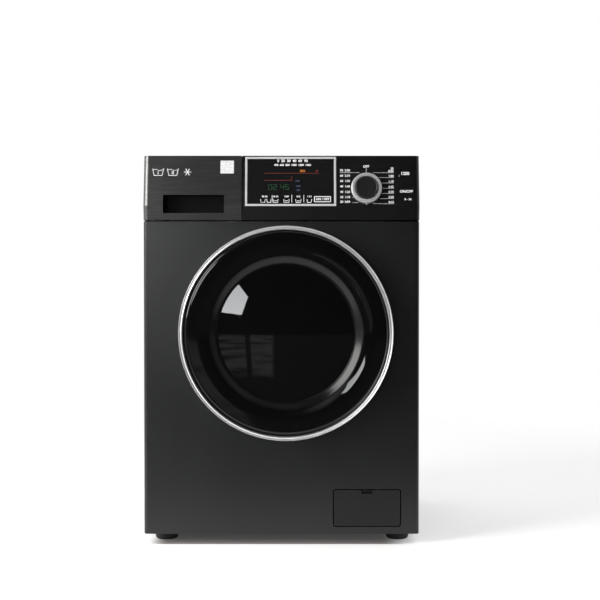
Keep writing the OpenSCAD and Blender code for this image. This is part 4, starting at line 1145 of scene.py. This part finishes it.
(spring_low, spring_high), spring_wire, coil_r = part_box("suspension_springs"), 0.0022, 0.014
springs = [(sum(side) / 2, (spring_low.y + spring_high.y) / 2)
           for side in ((spring_low.x, spring_low.x + 2 * (coil_r + spring_wire)),
                        (spring_high.x - 2 * (coil_r + spring_wire), spring_high.x))]
coil_low, coil_high, saddle_t = spring_low.z + 0.0222, spring_high.z - 0.011, 0.0022


def spring_coil(inputs):
    """A wound wire with its turns evenly spaced."""
    wound = inputs["Start"].node("GeometryNodeCurveSpiral", {}, {
        "Resolution": 20, "Rotations": inputs["Turns"], "Start Radius": inputs["Coil radius"],
        "End Radius": inputs["Coil radius"], "Height": inputs["Length"]})
    wire = wound.node("GeometryNodeCurvePrimitiveCircle", {}, {
        "Resolution": 10, "Radius": inputs["Wire radius"]})
    return wound.node("GeometryNodeCurveToMesh", {}, {
        "Curve": wound, "Profile Curve": wire, "Fill Caps": True})


coil = pattern("spring", {"Turns": 13.0, "Coil radius": coil_r, "Wire radius": spring_wire,
                          "Length": coil_high - coil_low, "Finish": zinc}, spring_coil)
peg = turned(rounded([(0, 0), (coil_r, 0), (coil_r, 0.0022), (0.004, 0.0030), (0.004, 0.0125),
                      (0.008, 0.0125), (0.008, 0.0150), (0, 0.0150)], 0.0006), Matrix(), 32)
hook_r = 0.009
hook = turned([(hook_r + spring_wire * cos(radians(30 * k)),
                spring_wire * sin(radians(30 * k))) for k in range(12)],
              Matrix.Rotation(pi / 2, 4, "Y"), 40)
saddle = turned(rounded([(0, -saddle_t), (coil_r, -saddle_t), (coil_r, 0), (0, 0)], 0.0006),
                Matrix(), 32)
spring_mesh = from_parts([
    (mesh, Matrix.Translation((x, y, z))) for x, y in springs
    for mesh, z in ((coil, coil_low), (peg, coil_high - 0.0020), (saddle, coil_low + 0.0002),
                    (hook, coil_low - saddle_t - hook_r))])
hung("tub_springs", spring_mesh, zinc, "suspension_springs",
     sharp=50)


# ---- Hoses to the tub ----
# Black rubber bellows: a short one from the dispenser down into the tub, and one from the
# tub's sump round a bend to the drain pump.
def bellows(inputs):
    """A tube along a path, with ripples between its two plain cuffs."""
    path = inputs["Start"].node("GeometryNodeMeshToCurve", {}, {"Mesh": inputs["Start"]})
    path = path.node("GeometryNodeResampleCurve", {}, {"Curve": path, "Count": 160})
    along = path.node("GeometryNodeSplineParameter")
    wave = along.node("ShaderNodeMath", {"operation": "COSINE"}, {
        0: 2 * pi * inputs["Ripples"] * (along / inputs["Rippled part"])})
    inside = (along - inputs["Cuff"]).ramp(0, 0.03) * (
        inputs["Rippled part"] - inputs["Cuff"] - along).ramp(0, 0.03)
    radius = inputs["Radius"] + inputs["Ripple"] * inside * (0.5 - 0.5 * wave)
    circle = path.node("GeometryNodeCurvePrimitiveCircle", {}, {"Resolution": 48, "Radius": 1.0})
    return path.node("GeometryNodeCurveToMesh", {}, {
        "Curve": path, "Profile Curve": circle, "Scale": radius, "Fill Caps": True})


(fill_low, fill_high), (sump_low, sump_high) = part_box("fill_hose"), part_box("sump_hose")
fill_x, fill_y = (fill_low.x + fill_high.x) / 2, (fill_low.y + fill_high.y) / 2
sump_x, sump_bend, sump_z = sump_low.x + 0.0250, 0.045, 0.0775
sump_y = (sump_low.y + sump_high.y) / 2
straight = [(fill_x, fill_y, fill_high.z), (fill_x, fill_y, fill_low.z)]
bent = [(sump_x, sump_y, sump_high.z)] + [
    (sump_x + sump_bend * (1 - cos(turn)), sump_y, sump_z + sump_bend * (1 - sin(turn)))
    for turn in (radians(7.5 * k) for k in range(13))] + [(sump_high.x, sump_y, sump_z)]
for name, node, points, radius, ripples, rippled, fixed, moving in (
        ("dispenser_hose", "fill_hose", straight, 0.0226, 5.0, 1.0, fill_high.z - 0.008,
         fill_low.z + 0.008),
        ("drain_sump_hose", "sump_hose", bent, 0.0246, 3.0, 0.4, sump_z + sump_bend,
         sump_high.z - 0.006)):
    path = mesh_of("path", points, edges=[(n, n + 1) for n in range(len(points) - 1)])
    mesh = pattern(name, {"Radius": radius, "Ripple": 0.0024, "Ripples": ripples,
                          "Rippled part": rippled, "Cuff": 0.06 * rippled,
                          "Finish": black_rubber}, bellows, path)
    x, y, _ = points[0]
    hung(name, mesh, black_rubber, node, sharp=60)


# ---- Drum ----
# A thin stainless shell with its wall perforated all round and a rolled front lip, three
# hollow lifters, and a cast three-armed spider on a steel shaft in two bearings.
drum_low, drum_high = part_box("drum_shell")
drum_r, drum_front, drum_back = (drum_high.x - drum_low.x) / 2, drum_low.y, drum_high.y
holes_round, rows, hole_r, shell_t = 96, 20, 0.0021, 0.0012
cell = (2 * pi * drum_r / holes_round, (drum_back - drum_front - 0.002) / rows)
edge_of_cell = [(1, 0), (1, 1), (0, 1), (-1, 1), (-1, 0), (-1, -1), (0, -1), (1, -1)]
tile = mesh_of("tile", [(x * cell[0] / 2, y * cell[1] / 2, 0) for x, y in edge_of_cell]
               + [(hole_r * cos(pi * k / 4), hole_r * sin(pi * k / 4), 0) for k in range(8)],
               [(k, (k + 1) % 8, 8 + (k + 1) % 8, 8 + k) for k in range(8)])


def perforated_wall(inputs):
    """Tiles with a hole in each, laid on a flat field that is then bent round to a cylinder."""
    field = inputs["Start"].node("GeometryNodeMeshGrid", {}, {
        "Size X": inputs["Field wide"], "Size Y": inputs["Field long"],
        "Vertices X": inputs["Round"], "Vertices Y": inputs["Rows"]})
    laid = field.node("GeometryNodeInstanceOnPoints", {}, {
        "Points": field, "Instance": inputs["Tile"]})
    laid = field.node("GeometryNodeRealizeInstances", {}, {0: laid})
    place = field.node("GeometryNodeInputPosition")
    turn = place.part(0) / inputs["Radius"]
    east, north = (inputs["Radius"] * field.node("ShaderNodeMath", {"operation": way}, {0: turn})
                   for way in ("COSINE", "SINE"))
    bent = field.node("GeometryNodeSetPosition", {}, {
        "Geometry": laid, "Position": field.node("ShaderNodeCombineXYZ", {}, {
            "X": east, "Y": north, "Z": place.part(1)})})
    return field.node("GeometryNodeMergeByDistance", {}, {"Geometry": bent, "Distance": 0.0002})


wall = pattern("perforations", {
    "Round": holes_round, "Rows": rows, "Field wide": cell[0] * (holes_round - 1),
    "Field long": cell[1] * (rows - 1), "Radius": drum_r, "Tile": put("tile", tile),
    "Finish": stainless}, perforated_wall)
wall.transform(Matrix.Translation((door_x, (drum_front + drum_back) / 2, door_z)) @ backwards)
middle = Vector((door_x, 0, door_z))
with worked(wall) as shape:
    merge(shape, 0.0002)
    bmesh.ops.reverse_faces(shape, faces=[face for face in shape.faces if face.normal.dot(
        (face.calc_center_median() - middle) * Vector((1, 0, 1))) < 0])
drum_wall = settled("drum_perforated_wall", wall, stainless, "drum_shell")
thickness = drum_wall.modifiers.new("sheet", "SOLIDIFY")
thickness.thickness, thickness.offset = shell_t, -1.0
drum_wall.modifiers.move(1, 0)
rim_r = 1000 * drum_r
front_mm = [(rim_r, 99), (rim_r, 100.2), (161.2, 100.2), (161.2, 108), (160, 108), (160, 99)]
back_mm = [(0, 402.8), (60, 402.8), (64, 401.3), (150, 401.3), (154, 402.8), (rim_r, 402.8),
           (rim_r, 404), (154, 404), (150, 402.5), (64, 402.5), (60, 404), (0, 404)]
ends = from_parts([turned(rounded(millimetres(outline), 0.0006), drum_place, 192)
                   for outline in (front_mm, back_mm)])
settled("drum_ends", ends, stainless, "drum_shell", sharp=45)
eased("drum_lifters", "lifter_mouldings", tub_plastic, 0.0010)

cast_aluminium = toned("cast_aluminium", grey(0.42), grey(0.56), 0.44, (520, 4), (14, 3),
                       share=0.4, gloss=(0, 0.16), depth=0.00009, metallic=1.0)
turned_steel = toned("turned_steel", grey(0.40), grey(0.54), 0.20, (1600, 1, (1, 0.05, 1)),
                     (20, 2), gloss=(0, 0.14), depth=0.00001, metallic=1.0)
eased("drum_spider", "spider_casting", cast_aluminium, 0.0012)
eased("drum_shaft", "drum_shaft_steel", turned_steel, 0.0005)
eased("drum_bearings", "ball_bearings", turned_steel, 0.0005)
eased("shaft_seal", "shaft_seal_ring", black_rubber, 0.0005)


# ---- Motor and belt ----
# A cast aluminium motor slung under the tub, with cooling fins along it. A flat black belt
# runs from its small steel pulley to the drum's large five-hole pulley behind the tub.
eased("motor_body", "motor_case", cast_aluminium, 0.0012)
motor_low, motor_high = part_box("motor_body")
motor_r, fin_high, fin_count, fin_length = 0.060, 0.0030, 40, 0.078
motor_x, motor_z = (motor_low.x + motor_high.x) / 2, motor_low.z + motor_r
fin = box_mesh((motor_r - 0.001, -0.0009, 0), (motor_r + fin_high, 0.0009, fin_length))


def fins(inputs):
    """Fins side by side round a cylinder."""
    spots = inputs["Fin"].node("GeometryNodeMeshLine", {"mode": "OFFSET"}, {
        "Count": inputs["Fins"], "Offset": (0, 0, 0)})
    turn = spots.node("GeometryNodeInputIndex") * (2 * pi / fin_count)
    return spots.node("GeometryNodeInstanceOnPoints", {}, {
        "Points": spots, "Instance": inputs["Fin"],
        "Rotation": spots.node("ShaderNodeCombineXYZ", {}, {"Z": turn})})


fin_mesh = pattern("fins", {"Fin": put("fin", fin), "Fins": fin_count,
                            "Finish": cast_aluminium}, fins)
fin_mesh.transform(Matrix.Translation((motor_x, front + 0.322, motor_z)) @ backwards)
settled("motor_fins", fin_mesh, None, "motor_body", sharp=30)
eased("motor_pulley", "motor_pulley_steel", turned_steel, 0.0004)
eased("drum_pulley", "drum_pulley_casting", cast_aluminium, 0.0010)
eased("drive_belt", "belt", black_rubber, 0.0004)
